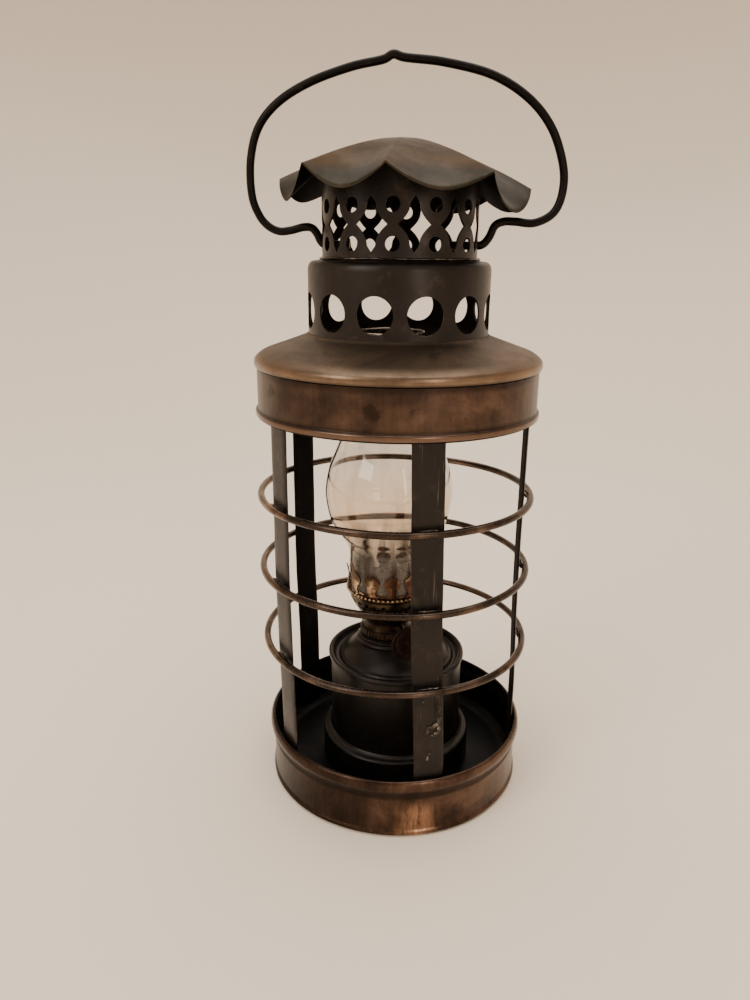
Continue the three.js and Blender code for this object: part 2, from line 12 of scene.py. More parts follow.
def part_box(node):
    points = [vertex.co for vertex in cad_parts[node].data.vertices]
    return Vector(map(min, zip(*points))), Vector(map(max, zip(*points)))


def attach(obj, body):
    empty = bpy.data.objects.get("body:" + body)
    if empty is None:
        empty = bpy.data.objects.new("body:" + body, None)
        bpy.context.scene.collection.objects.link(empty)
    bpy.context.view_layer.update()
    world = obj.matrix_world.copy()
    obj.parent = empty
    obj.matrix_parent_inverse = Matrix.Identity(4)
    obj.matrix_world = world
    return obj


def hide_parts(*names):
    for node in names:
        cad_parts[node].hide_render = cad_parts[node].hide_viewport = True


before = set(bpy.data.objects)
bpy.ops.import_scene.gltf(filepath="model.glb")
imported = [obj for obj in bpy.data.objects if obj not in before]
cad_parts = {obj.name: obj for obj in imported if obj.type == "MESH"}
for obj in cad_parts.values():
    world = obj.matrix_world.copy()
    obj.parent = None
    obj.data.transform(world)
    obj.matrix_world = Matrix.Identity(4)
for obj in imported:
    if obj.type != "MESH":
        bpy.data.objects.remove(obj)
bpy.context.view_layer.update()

MM = 0.001
random.seed(7)

# ---- camera ---------------------------------------------------------------------------------------
CAMERA_DISTANCE = 0.3303  # from the lantern's axis
CAMERA_HEIGHT = 0.2401
CAMERA_SIDE = math.radians(5)  # to the right of the front
CAMERA_DOWN = math.radians(17.86)
CAMERA_TURN = math.radians(-1.57)
CAMERA_ROLL = math.radians(0.57)
CAMERA_LENS = 27.67


def in_scene(name, data):
    """A new object in the scene."""
    made = bpy.data.objects.new(name, data)
    bpy.context.scene.collection.objects.link(made)
    return made


def make_camera():
    data = bpy.data.cameras.new("camera")
    data.lens = CAMERA_LENS
    data.clip_start = 0.01
    camera = in_scene("camera", data)
    aim = Vector((
        math.sin(CAMERA_TURN) * math.cos(CAMERA_DOWN),
        math.cos(CAMERA_TURN) * math.cos(CAMERA_DOWN),
        -math.sin(CAMERA_DOWN),
    ))
    right = Vector((math.cos(CAMERA_TURN), -math.sin(CAMERA_TURN), 0))
    up = right.cross(aim)
    rolled_right = right * math.cos(CAMERA_ROLL) + up * math.sin(CAMERA_ROLL)
    rolled_up = up * math.cos(CAMERA_ROLL) - right * math.sin(CAMERA_ROLL)
    look = Matrix((rolled_right, rolled_up, -aim)).transposed().to_4x4()
    side = Matrix.Rotation(CAMERA_SIDE, 4, "Z")
    camera.matrix_world = side @ Matrix.Translation((0, -CAMERA_DISTANCE, CAMERA_HEIGHT)) @ look
    bpy.context.scene.camera = camera


make_camera()

# ---- sizes read from the frame, in millimetres -------------------------------------------------------


@functools.cache
def low(node):
    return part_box(node)[0] / MM


@functools.cache
def high(node):
    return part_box(node)[1] / MM


def heights(node):
    return low(node).z, high(node).z


def middle_x(node):
    return (low(node).x + high(node).x) / 2


def radius_of(node):
    return (high(node).y - low(node).y) / 2


SHEET = 0.8  # thickness of the cage, the lid and the lamp
BURNER_SHEET = 0.5
GLASS_WALL = 0.9
LAMP_X = middle_x("font_tank")
BURNER_X = middle_x("glass_chimney")
FEED_TURN = math.radians(18.5)  # which way the wick shaft points, from the front towards +X
# Sides of a turned piece, from the widest to the narrowest.
WIDE = 192
MEDIUM = 128
NARROW = 96

# ---- mesh helpers ------------------------------------------------------------------------------------


def polar(r, turn, z=0):
    """The point at a distance from the axis, in a direction given as an angle from +X."""
    return Vector((r * math.cos(turn), r * math.sin(turn), z))


def turns(count, start=0):
    """Evenly spaced angles, once round."""
    return [start + 2 * math.pi * k / count for k in range(count)]


LEAN_REACH = 1.5
LEAN_FROM = 30
LEAN_UP_TO = 110


def lean(bm):
    """The soldered cage isn't quite true: it drifts to the right on the way down to the pan."""
    for vertex in bm.verts:
        t = (LEAN_UP_TO - vertex.co.z / MM) / (LEAN_UP_TO - LEAN_FROM)
        t = min(1, max(0, t))
        vertex.co.x += LEAN_REACH * t * t * (3 - 2 * t) * MM


def shade_inner_faces(bm, below=True):
    """Gives the second material to faces that look at the axis and, if asked, at the floor: painted shade on
    the inner and lower faces, which inside the lid also stands for soot.
    """
    bmesh.ops.recalc_face_normals(bm, faces=bm.faces)
    for face in bm.faces:
        centre = face.calc_center_median()
        flat = Vector((centre.x, centre.y, 0)).normalized()
        if face.normal.dot(flat) < -0.25 or (below and face.normal.z < -0.5):
            face.material_index = 1
    return bm


def finish_mesh(name, bm, materials, body, nodes, sharp=35):
    """Makes the piece, smooth-shaded with its edges sharp past an angle, and hangs it on its body."""
    bmesh.ops.remove_doubles(bm, verts=bm.verts, dist=1e-7)
    bmesh.ops.recalc_face_normals(bm, faces=bm.faces)
    if body in ("cage", "lamp"):
        lean(bm)
    limit = math.radians(sharp)
    for face in bm.faces:
        face.smooth = True
    for edge in bm.edges:
        edge.smooth = len(edge.link_faces) == 2 and edge.calc_face_angle(0) < limit
    mesh = bpy.data.meshes.new(name)
    bm.to_mesh(mesh)
    bm.free()
    piece = in_scene(name, mesh)
    for material in materials if isinstance(materials, (list, tuple)) else [materials]:
        mesh.materials.append(material)
    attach(piece, body)
    if nodes:
        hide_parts(*nodes)
    return piece


def sheet_faces(bm, front, back):
    """Closes two matching grids of vertices, the faces of one sheet, with walls along all four edges."""
    rows, last = len(front) - 1, len(front[0]) - 1
    for j in range(rows):
        for grid in (front, back):
            for i in range(last):
                bm.faces.new((grid[j][i], grid[j][i + 1], grid[j + 1][i + 1], grid[j + 1][i]))
        for i in (0, last):
            bm.faces.new((front[j][i], front[j + 1][i], back[j + 1][i], back[j][i]))
    for j in (0, rows):
        for i in range(last):
            bm.faces.new((front[j][i], front[j][i + 1], back[j][i + 1], back[j][i]))


def fillet(points, steps=5):
    """Rounds the corners of an outline: a point given as (r, z, radius) becomes an arc."""
    out = []
    count = len(points)
    for i, point in enumerate(points):
        here = Vector(point[:2])
        size = point[2] if len(point) > 2 else 0
        if not size:
            out.append(here)
            continue
        before = Vector(points[i - 1][:2]) - here
        after = Vector(points[(i + 1) % count][:2]) - here
        size = min(size, before.length * 0.49, after.length * 0.49)
        start = here + before.normalized() * size
        end = here + after.normalized() * size
        for k in range(steps + 1):
            t = k / steps
            out.append(start * (1 - t) ** 2 + here * 2 * t * (1 - t) + end * t * t)
    return out


def curve_through(points, steps=6):
    """A smooth line through points (Catmull-Rom), without its end points repeated."""
    out = []
    ends = [points[0], *points, points[-1]]
    for i in range(1, len(ends) - 2):
        p0, p1, p2, p3 = (Vector(p) for p in ends[i - 1:i + 3])
        for k in range(steps):
            t = k / steps
            out.append(0.5 * (
                2 * p1 + (p2 - p0) * t + (2 * p0 - 5 * p1 + 4 * p2 - p3) * t * t
                + (3 * p1 - p0 - 3 * p2 + p3) * t ** 3
            ))
    out.append(Vector(points[-1]))
    return out


def flat_curve(points, steps):
    """A smooth line through points of an outline."""
    return [point.xy for point in curve_through([(*p, 0) for p in points], steps)]


def thicken(line, thickness):
    """A closed outline from an open line: the line, then its offset to the left on the way back."""
    back = []
    for i, point in enumerate(line):
        along = (line[min(i + 1, len(line) - 1)] - line[max(i - 1, 0)]).normalized()
        back.append(point + Vector((-along.y, along.x)) * thickness)
    return list(line) + back[::-1]


def wobble(point, amount, scale, seed):
    """Handmade unevenness: moves a point in or out from the axis by smooth noise."""
    shift = noise.noise(point * scale + Vector((seed, seed * 2.3, 0))) * amount
    flat = Vector((point.x, point.y, 0))
    return point + flat.normalized() * shift if flat.length > 1 else point


def turned(outline, centre_x=0, sides=160, uneven=0, seed=0, closed=True):
    """A turned mesh (in metres) from an outline of (radius, z) in millimetres."""
    bm = bmesh.new()
    rows = []
    for turn in turns(sides):
        row = []
        for r, z in outline:
            point = polar(r, turn, z)
            if uneven:
                point = wobble(point, uneven, 0.035, seed)
            row.append(bm.verts.new((point + Vector((centre_x, 0, 0))) * MM))
        rows.append(row)
    count = len(outline)
    for k in range(sides):
        one, two = rows[k], rows[(k + 1) % sides]
        for i in range(count if closed else count - 1):
            j = (i + 1) % count
            bm.faces.new((one[i], two[i], two[j], one[j]))
    return bm


def prism(outline, start, end, angle, centre_x=0):
    """A cutter: an outline of (across, z) pushed outwards from the axis between two radii."""
    bm = bmesh.new()
    turn = Matrix.Rotation(angle, 3, "Z")
    ends = []
    for r in (start, end):
        points = [turn @ Vector((u, -r, z)) + Vector((centre_x, 0, 0)) for u, z in outline]
        ends.append([bm.verts.new(point * MM) for point in points])
    bm.faces.new(ends[0])
    bm.faces.new(ends[1][::-1])
    for i in range(len(outline)):
        j = (i + 1) % len(outline)
        bm.faces.new((ends[0][j], ends[0][i], ends[1][i], ends[1][j]))
    bmesh.ops.recalc_face_normals(bm, faces=bm.faces)
    return bm


def merge(into, other):
    mesh = bpy.data.meshes.new("merge")
    other.to_mesh(mesh)
    other.free()
    into.from_mesh(mesh)
    bpy.data.meshes.remove(mesh)


def cut(bm, cutters):
    """Cuts a mesh with a list of cutter meshes and returns the result."""
    every = bmesh.new()
    for cutter in cutters:
        merge(every, cutter)
    bmesh.ops.recalc_face_normals(bm, faces=bm.faces)
    objects = []
    for source in (bm, every):
        mesh = bpy.data.meshes.new("cut")
        source.to_mesh(mesh)
        source.free()
        objects.append(in_scene("cut", mesh))
    modifier = objects[0].modifiers.new("cut", "BOOLEAN")
    modifier.operation = "DIFFERENCE"
    modifier.solver = "EXACT"
    modifier.object = objects[1]
    graph = bpy.context.evaluated_depsgraph_get()
    result = bmesh.new()
    result.from_mesh(objects[0].evaluated_get(graph).to_mesh())
    for thing in objects:
        mesh = thing.data
        bpy.data.objects.remove(thing)
        bpy.data.meshes.remove(mesh)
    return result


def circle(x, z, radius, count=32):
    return [(x + radius * math.cos(a), z + radius * math.sin(a)) for a in turns(count)]


def wire(points, radius, sides=16, closed=False):
    """A round wire along points (millimetres), carried along without twist."""
    bm = bmesh.new()
    points = [Vector(p) for p in points]
    count = len(points)
    normal = None
    rows = []
    for i, point in enumerate(points):
        before = points[i - 1] if closed or i else point
        after = points[(i + 1) % count] if closed or i < count - 1 else point
        along = (after - before).normalized()
        if normal is None:
            normal = along.orthogonal().normalized()
        normal = (normal - along * normal.dot(along)).normalized()
        other = along.cross(normal)
        rows.append([
            bm.verts.new((point + (normal * math.cos(a) + other * math.sin(a)) * radius) * MM)
            for a in turns(sides)
        ])
    for i in range(count if closed else count - 1):
        one, two = rows[i], rows[(i + 1) % count]
        shift = 0
        if closed and i == count - 1:
            shift = min(range(sides), key=lambda s: (two[s].co - one[0].co).length)
        for k in range(sides):
            bm.faces.new((
                one[k], one[(k + 1) % sides], two[(k + 1 + shift) % sides], two[(k + shift) % sides]
            ))
    if not closed:
        bm.faces.new(rows[0][::-1])
        bm.faces.new(rows[-1])
    return bm

# ---- materials ---------------------------------------------------------------------------------------


class Nodes:
    """Builds a node tree with short calls."""

    def __init__(self, name):
        self.material = bpy.data.materials.new(name)
        self.material.use_nodes = True
        self.tree = self.material.node_tree
        self.tree.nodes.clear()
        self.shader = self.node("ShaderNodeBsdfPrincipled")
        self.output = self.node("ShaderNodeOutputMaterial")
        self.link(self.shader.outputs[0], self.output.inputs[0])
        self.place = self.node("ShaderNodeTexCoord").outputs["Object"]

    def node(self, kind, **settings):
        made = self.tree.nodes.new(kind)
        for key, value in settings.items():
            setattr(made, key, value)
        return made

    def link(self, start, end):
        self.tree.links.new(start, end)

    def stretched(self, x, y, z):
        mapping = self.node("ShaderNodeMapping")
        mapping.inputs["Scale"].default_value = (x, y, z)
        self.link(self.place, mapping.inputs["Vector"])
        return mapping.outputs[0]

    def noise(self, scale, detail=4.0, rough=0.6, where=None, distortion=0.0):
        made = self.node("ShaderNodeTexNoise")
        made.inputs["Scale"].default_value = scale
        made.inputs["Detail"].default_value = detail
        made.inputs["Roughness"].default_value = rough
        made.inputs["Distortion"].default_value = distortion
        self.link(where or self.place, made.inputs["Vector"])
        return made.outputs[0]

    def streaks(self, scales, detail, rough, distortion=0.0):
        """Noise drawn out along the axes."""
        return self.noise(1.0, detail, rough, self.stretched(*scales), distortion)

    def ramp(self, source, stops):
        """A colour ramp from a value; each stop is (place, colour or grey)."""
        made = self.node("ShaderNodeValToRGB")
        ramp = made.color_ramp
        while len(ramp.elements) < len(stops):
            ramp.elements.new(0.5)
        for element, (place, colour) in zip(ramp.elements, stops):
            element.position = place
            grey = isinstance(colour, (int, float))
            element.color = (colour, colour, colour, 1) if grey else (*colour, 1)
        self.link(source, made.inputs[0])
        return made.outputs[0]

    def mix(self, factor, one, two, blend="MIX"):
        made = self.node("ShaderNodeMix", data_type="RGBA", blend_type=blend)
        for socket, value in ((0, factor), (6, one), (7, two)):
            if isinstance(value, bpy.types.NodeSocket):
                self.link(value, made.inputs[socket])
            elif socket == 0:
                made.inputs[0].default_value = value
            else:
                made.inputs[socket].default_value = (*value, 1)
        return made.outputs[2]

    def math(self, operation, one, two=0.0, clamp=False):
        made = self.node("ShaderNodeMath", operation=operation, use_clamp=clamp)
        for socket, value in ((0, one), (1, two)):
            if isinstance(value, bpy.types.NodeSocket):
                self.link(value, made.inputs[socket])
            else:
                made.inputs[socket].default_value = value
        return made.outputs[0]

    def times(self, one, two):
        return self.math("MULTIPLY", one, two)

    def axis(self, letter):
        made = self.node("ShaderNodeSeparateXYZ")
        self.link(self.place, made.inputs[0])
        return made.outputs[letter]

    def between(self, source, start, end):
        """0 at start, 1 at end, in millimetres where the source is a coordinate."""
        made = self.node("ShaderNodeMapRange", interpolation_type="SMOOTHSTEP")
        self.link(source, made.inputs["Value"])
        made.inputs["From Min"].default_value = start * MM
        made.inputs["From Max"].default_value = end * MM
        return made.outputs[0]

    def band(self, source, start, full, still, end):
        """0 before start and after end, and 1 from full to still."""
        return self.times(self.between(source, start, full), self.fading(source, still, end))

    def fading(self, source, start, end):
        """1 at start, 0 at end, in millimetres where the source is a coordinate."""
        return self.math("SUBTRACT", 1.0, self.between(source, start, end))

    def bump(self, height, distance, strength=1.0, onto=None):
        made = self.node("ShaderNodeBump")
        made.inputs["Distance"].default_value = distance * MM
        made.inputs["Strength"].default_value = strength
        self.link(height, made.inputs["Height"])
        if onto:
            self.link(onto, made.inputs["Normal"])
        return made.outputs[0]

    def set(self, **values):
        for key, value in values.items():
            socket = self.shader.inputs[key.replace("_", " ")]
            if isinstance(value, bpy.types.NodeSocket):
                self.link(value, socket)
            elif isinstance(value, tuple):
                socket.default_value = (*value, 1)
            else:
                socket.default_value = value
        return self.material


def patina(name, bright, warm, dull, dark, streaks, rough, spots=0.5, size=1.0, extra=None):
    """Aged metal: cloudy tarnish, fine upright brush lines, dark spots and rubbed bright patches."""
    n = Nodes(name)
    clouds = n.noise(28 / size, detail=6, rough=0.62, distortion=0.4)
    colour = n.ramp(clouds, [(0.3, dark), (0.45, dull), (0.56, warm), (0.74, bright)])
    lines = n.streaks((700, 700, 26), detail=5, rough=0.7)
    line_tone = n.ramp(lines, [(0.32, 0.55), (0.68, 1.25)])
    colour = n.mix(0.55 * streaks, colour, line_tone, "MULTIPLY")
    smear = n.streaks((90, 90, 20), detail=4, rough=0.6, distortion=0.3)
    colour = n.mix(n.ramp(smear, [(0.48, 0.0), (0.72, 0.5 * streaks)]), colour, bright)
    blot = n.ramp(n.noise(95 / size, detail=3, rough=0.5), [(0.62, 0.0), (0.7, spots)])
    colour = n.mix(blot, colour, dark)
    speck = n.ramp(n.noise(420, detail=2, rough=0.5), [(0.66, 0.0), (0.72, 0.6 * spots)])
    colour = n.mix(speck, colour, dark)
    tarnish = n.ramp(clouds, [(0.3, rough[1]), (0.7, rough[0])])
    roughness = n.mix(0.5, tarnish, n.ramp(lines, [(0.3, rough[1]), (0.7, rough[0])]))
    normal = n.bump(lines, 0.02, 0.35 * streaks + 0.02)
    normal = n.bump(n.noise(60 / size, detail=5, rough=0.6), 0.25, 0.25, onto=normal)
    if extra:
        colour, roughness = extra(n, colour, roughness, clouds)
    return n.set(Base_Color=colour, Metallic=1.0, Roughness=roughness, Normal=normal)


def shoulder_painted_light(n, colour, roughness, clouds):
    """Painted light on the shoulder: a painted highlight along the rim, which is also made glossier, painted
    shade along the rim's lower edge, and soot with painted shade where the slope meets the drum.
    """
    rim, foot = low("shoulder_cover").z, low("vent_drum").z
    height = n.math("ADD", n.axis("Z"), n.times(n.math("SUBTRACT", clouds, 0.5), 0.006))
    # painted highlight along the rim; the same mask makes the rim glossier
    rim_highlight_and_gloss = n.fading(height, rim + 2.2, rim + 7.5)
    brushed = n.streaks((38, 38, 120), detail=5, rough=0.65)
    worn = n.ramp(brushed, [(0.36, 0.15), (0.62, 0.75)])
    # darker towards the drum's foot: soot, and painted shade in that corner
    soot_and_shade_at_drum = n.times(n.between(height, foot - 2, foot + 1.5), 0.5)
    colour = n.mix(soot_and_shade_at_drum, colour, (0.028, 0.022, 0.018))
    colour = n.mix(n.times(rim_highlight_and_gloss, worn), colour, (0.3, 0.2, 0.135))
    # painted shade along the rim's lower edge
    shaded = n.fading(n.axis("Z"), rim + 0.4, rim + 1.5)
    colour = n.mix(n.times(shaded, 0.7), colour, (0.045, 0.03, 0.022))
    return colour, n.mix(rim_highlight_and_gloss, roughness, n.ramp(clouds, [(0.3, 0.38), (0.7, 0.24)]))


def skirt_painted_shade_and_highlight(n, colour, roughness, clouds):
    """Painted shadow on the skirt under the lid's rim, painted shade in the crease above its own bead, and a
    painted highlight on the bead, which is also made glossier.
    """
    height = n.axis("Z")
    top, bottom = high("skirt_band").z, low("skirt_band").z
    # painted shadow under the lid's rim
    under = n.times(n.between(height, top - 3.2, top - 0.4), 0.75)
    # painted shade in the crease above the bead
    above = n.band(height, bottom + 3, bottom + 3.6, bottom + 3.6, bottom + 5.4)
    # painted highlight on the bead; the same mask makes it glossier
    bead = n.fading(height, bottom + 2.4, bottom + 3.2)
    painted_shade_under_rim_and_above_bead = n.math("ADD", under, n.times(above, 0.6), clamp=True)
    colour = n.mix(painted_shade_under_rim_and_above_bead, colour, (0.022, 0.015, 0.012))
    colour = n.mix(n.times(bead, 0.45), colour, (0.24, 0.155, 0.11))
    return colour, n.mix(bead, roughness, (0.22, 0.22, 0.22))


def pan_painted_light(n, colour, roughness, clouds):
    """The pan's wall gets a painted dark reflection on its left, a painted highlight on a glossier patch
    right of the front, and painted shade under the rim's bead.
    """
    across, height = n.axis("X"), n.axis("Z")
    # painted dark reflection over the left of the wall
    painted_dark_reflection = n.times(n.fading(across, -48, 12), 0.74)
    colour = n.mix(painted_dark_reflection, colour, (0.02, 0.0125, 0.0095))
    # painted highlight, on a patch that is also made glossier
    glossy_highlight_patch = n.band(across, 4, 15, 17, 29)
    glossy_highlight_patch = n.times(glossy_highlight_patch, n.fading(height, 11, 19.5))
    glossy_highlight_patch = n.times(glossy_highlight_patch, n.fading(n.axis("Y"), -20, 0))
    ragged = n.streaks((330, 330, 60), detail=5, rough=0.7, distortion=0.5)
    glossy_highlight_patch = n.times(glossy_highlight_patch, n.ramp(ragged, [(0.4, 0.2), (0.64, 1.0)]))
    colour = n.mix(n.times(glossy_highlight_patch, 0.7), colour, (0.5, 0.275, 0.165))
    roughness = n.mix(glossy_highlight_patch, roughness, (0.24, 0.24, 0.24))
    rim = high("base_band").z
    # painted shade under the rim's bead, which is also made rougher
    grime = n.band(height, rim - 10.4, rim - 8.6, rim - 6.2, rim - 4)
    colour = n.mix(n.times(grime, 0.6), colour, (0.012, 0.0085, 0.007))
    return colour, n.mix(grime, roughness, (0.62, 0.62, 0.62))


def dark_finish(name, base, worn, rough, wear=0.35, metallic=0.6, shine=0.5, scratched=0.0):
    """Thin dark lacquer or blacking on sheet or wire, with a cloudy film and worn warm patches."""
    n = Nodes(name)
    clouds = n.noise(45, detail=6, rough=0.6, distortion=0.3)
    deep = tuple(c * 0.55 for c in base)
    colour = n.ramp(clouds, [(0.3, deep), (0.55, base), (0.8, tuple(c * 1.5 for c in base))])
    rub = n.ramp(n.noise(110, detail=5, rough=0.68), [(0.56, 0.0), (0.68, wear)])
    colour = n.mix(rub, colour, worn)
    if scratched:
        hairs = n.streaks((1500, 1500, 45), detail=2, rough=0.5)
        fine = n.ramp(hairs, [(0.62, 0.0), (0.7, 1.0)])
        where = n.ramp(n.noise(38, detail=2, rough=0.5), [(0.48, 0.0), (0.62, scratched)])
        colour = n.mix(n.times(fine, where), colour, (0.16, 0.125, 0.1))
    grain = n.noise(900, detail=3, rough=0.6)
    roughness = n.mix(0.5, n.ramp(clouds, [(0.3, rough[1]), (0.7, rough[0])]),
                      n.ramp(grain, [(0.3, rough[0]), (0.7, rough[1])]))
    normal = n.bump(grain, 0.03, 0.25)
    normal = n.bump(n.noise(70, detail=4, rough=0.55), 0.3, 0.3, onto=normal)
    return n.set(Base_Color=colour, Metallic=metallic, Roughness=roughness, Normal=normal,
                 Specular_IOR_Level=shine)


def cap_metal():
    """The cap's copper: warm brown at the top, grey-brown towards the lobes."""
    n = Nodes("cap_copper")
    clouds = n.noise(32, detail=6, rough=0.6, distortion=0.5)
    warm = n.ramp(clouds, [
        (0.3, (0.029, 0.0155, 0.006)), (0.55, (0.064, 0.0355, 0.0132)), (0.78, (0.118, 0.067, 0.027)),
    ])
    grey = n.ramp(clouds, [
        (0.3, (0.0165, 0.0132, 0.0084)), (0.55, (0.037, 0.0305, 0.0208)), (0.8, (0.068, 0.055, 0.0365)),
    ])
    edge = n.math("ADD", n.axis("Z"), n.times(n.math("SUBTRACT", clouds, 0.5), 0.012))
    top = high("rain_cap").z
    colour = n.mix(n.between(edge, top - 10.5, top - 16), warm, grey)
    blot = n.ramp(n.noise(120, detail=4, rough=0.6), [(0.6, 0.0), (0.72, 0.5)])
    colour = n.mix(blot, colour, (0.07, 0.045, 0.03))
    roughness = n.ramp(n.noise(75, detail=5, rough=0.65), [(0.3, 0.6), (0.7, 0.42)])
    normal = n.bump(n.noise(500, detail=3, rough=0.6), 0.02, 0.3)
    normal = n.bump(n.noise(38, detail=4, rough=0.5), 0.6, 0.35, onto=normal)
    return n.set(Base_Color=colour, Metallic=1.0, Roughness=roughness, Normal=normal)


def chimney_glass():
    """Thin clear glass with soot and dry water marks low down, and lamps' light passing through."""
    n = Nodes("glass")
    height = n.axis("Z")
    clouds = n.streaks((140, 140, 30), detail=4, rough=0.6, distortion=0.2)
    low_down = n.fading(height, 104, 122)
    soot = n.times(n.ramp(clouds, [(0.32, 0.1), (0.6, 0.82)]), low_down)
    amber = n.band(height, 100, 118, 126, 152)
    tint = n.mix(n.times(amber, 0.7), (0.98, 0.968, 0.945), (0.93, 0.76, 0.58))
    haze = n.ramp(n.noise(60, detail=5, rough=0.6), [(0.45, 0.03), (0.75, 0.13)])
    n.set(Base_Color=tint, Roughness=0.02, IOR=1.45, Transmission_Weight=1.0)
    clear = n.node("ShaderNodeBsdfTransparent")
    clear.inputs[0].default_value = (0.93, 0.92, 0.9, 1)
    path = n.node("ShaderNodeLightPath")
    lit = n.node("ShaderNodeMixShader")
    n.link(path.outputs["Is Shadow Ray"], lit.inputs[0])
    n.link(n.shader.outputs[0], lit.inputs[1])
    n.link(clear.outputs[0], lit.inputs[2])
    grime = n.node("ShaderNodeBsdfDiffuse")
    n.link(n.ramp(clouds, [(0.45, (0.2, 0.165, 0.135)), (0.66, (0.045, 0.036, 0.03))]), grime.inputs[0])
    film = n.node("ShaderNodeMixShader")
    n.link(n.math("ADD", soot, haze, clamp=True), film.inputs[0])
    n.link(lit.outputs[0], film.inputs[1])
    n.link(grime.outputs[0], film.inputs[2])
    n.link(film.outputs[0], n.output.inputs[0])
    return n.material


def solder_metal():
    """Dull grey solder with a few bright glints."""
    n = Nodes("solder")
    clouds = n.noise(160, detail=4, rough=0.6)
    colour = n.ramp(clouds, [
        (0.4, (0.02, 0.0165, 0.014)), (0.55, (0.07, 0.06, 0.051)), (0.7, (0.4, 0.36, 0.31)),
    ])
    roughness = n.ramp(clouds, [(0.3, 0.3), (0.7, 0.1)])
    normal = n.bump(n.noise(420, detail=3, rough=0.6), 0.2, 0.6)
    return n.set(Base_Color=colour, Metallic=1.0, Roughness=roughness, Normal=normal)


def wick_cotton():
    """Cream cotton, charred at its top."""
    n = Nodes("wick_cotton")
    weave = n.node("ShaderNodeTexWave", wave_type="BANDS", bands_direction="DIAGONAL")
    weave.inputs["Scale"].default_value = 420
    n.link(n.place, weave.inputs["Vector"])
    cream = n.ramp(weave.outputs[1], [(0.2, (0.4, 0.33, 0.23)), (0.8, (0.68, 0.6, 0.46))])
    charred = n.between(n.axis("Z"), high("wick").z - 4, high("wick").z - 1)
    colour = n.mix(charred, cream, (0.02, 0.017, 0.015))
    return n.set(Base_Color=colour, Roughness=0.95, Normal=n.bump(weave.outputs[1], 0.15, 0.6))


# For each aged metal: the colours of its bright, warm, dull and dark patches.
COPPER = patina("copper", (0.175, 0.11, 0.08), (0.082, 0.052, 0.038), (0.048, 0.032, 0.025),
                (0.022, 0.015, 0.012), streaks=0.45, rough=(0.24, 0.42), spots=0.75, extra=skirt_painted_shade_and_highlight)
PAN = patina("pan_copper", (0.175, 0.108, 0.076), (0.074, 0.044, 0.031), (0.037, 0.0235, 0.0175),
             (0.016, 0.0115, 0.009), streaks=0.5, rough=(0.18, 0.36), extra=pan_painted_light)
SHOULDER = patina("shoulder_copper", (0.21, 0.148, 0.1), (0.125, 0.088, 0.06), (0.082, 0.06, 0.042),
                  (0.036, 0.026, 0.019), streaks=0.15, rough=(0.48, 0.66), extra=shoulder_painted_light)
BRONZE = patina("bronze_wire", (0.34, 0.24, 0.18), (0.115, 0.078, 0.057), (0.048, 0.034, 0.027),
                (0.02, 0.0155, 0.0125), streaks=0.2, rough=(0.16, 0.34))
BRASS = patina("burner_brass", (0.34, 0.24, 0.125), (0.085, 0.055, 0.03), (0.036, 0.024, 0.016),
               (0.014, 0.01, 0.0075), streaks=0.3, rough=(0.2, 0.45), spots=0.8, size=0.4)
GALLERY = patina("gallery_brass", (0.85, 0.68, 0.43), (0.14, 0.072, 0.042), (0.055, 0.025, 0.018),
                 (0.026, 0.016, 0.012), streaks=0.2, rough=(0.14, 0.4), spots=0.8, size=0.3)
BEADING = patina("beading_brass", (0.75, 0.6, 0.37), (0.46, 0.33, 0.19), (0.2, 0.135, 0.08),
                 (0.05, 0.034, 0.022), streaks=0.1, rough=(0.16, 0.32), size=0.4)
CUP = patina("cup_brass", (0.15, 0.102, 0.055), (0.045, 0.03, 0.018), (0.02, 0.014, 0.01),
             (0.009, 0.007, 0.0055), streaks=0.2, rough=(0.24, 0.5), size=0.5)
KNOB = patina("knob_copper", (0.075, 0.043, 0.034), (0.03, 0.0165, 0.0135), (0.015, 0.0095, 0.008),
              (0.007, 0.0055, 0.0045), streaks=0.2, rough=(0.3, 0.5), size=0.4)
CAP = cap_metal()

# For each dark finish: its own colour and that of its worn patches.
TIN = dark_finish("dark_tin", (0.0145, 0.0108, 0.0094), (0.055, 0.039, 0.031), rough=(0.26, 0.46), wear=0.4)
STRAP = dark_finish("strap_metal", (0.0138, 0.0102, 0.0087), (0.06, 0.043, 0.032), rough=(0.28, 0.46),
                    wear=0.4, scratched=0.7)
BAIL = dark_finish("black_wire", (0.0065, 0.0048, 0.004), (0.032, 0.021, 0.015), rough=(0.26, 0.42),
                   shine=0.22)
FONT = dark_finish("font_metal", (0.0135, 0.0108, 0.0095), (0.06, 0.044, 0.034), rough=(0.28, 0.44), wear=0.3)
TOP = dark_finish("font_top", (0.017, 0.0125, 0.0105), (0.06, 0.044, 0.034), rough=(0.28, 0.42), wear=0.45)
# near black on faces turned in or down: painted shade, with soot inside the lid
INSIDE_SHADE = dark_finish("inside", (0.006, 0.0045, 0.004), (0.022, 0.016, 0.012), rough=(0.7, 0.9),
                        metallic=0.0, shine=0.08)
# near black underside of the cap: soot, darkened further as painted shade
SOOT_AND_SHADE = dark_finish("cap_underside_soot_and_shade", (0.0016, 0.0013, 0.0011), (0.005, 0.004, 0.0033), rough=(0.55, 0.8),
                   metallic=0.0, shine=0.015)
PAN_INSIDE = dark_finish("pan_inside", (0.004, 0.003, 0.0026), (0.026, 0.019, 0.014), rough=(0.3, 0.6),
                         wear=0.4, metallic=0.0, shine=0.15)
SOLDER = solder_metal()
GLASS = chimney_glass()
COTTON = wick_cotton()

# ---- base pan and cage -------------------------------------------------------------------------------


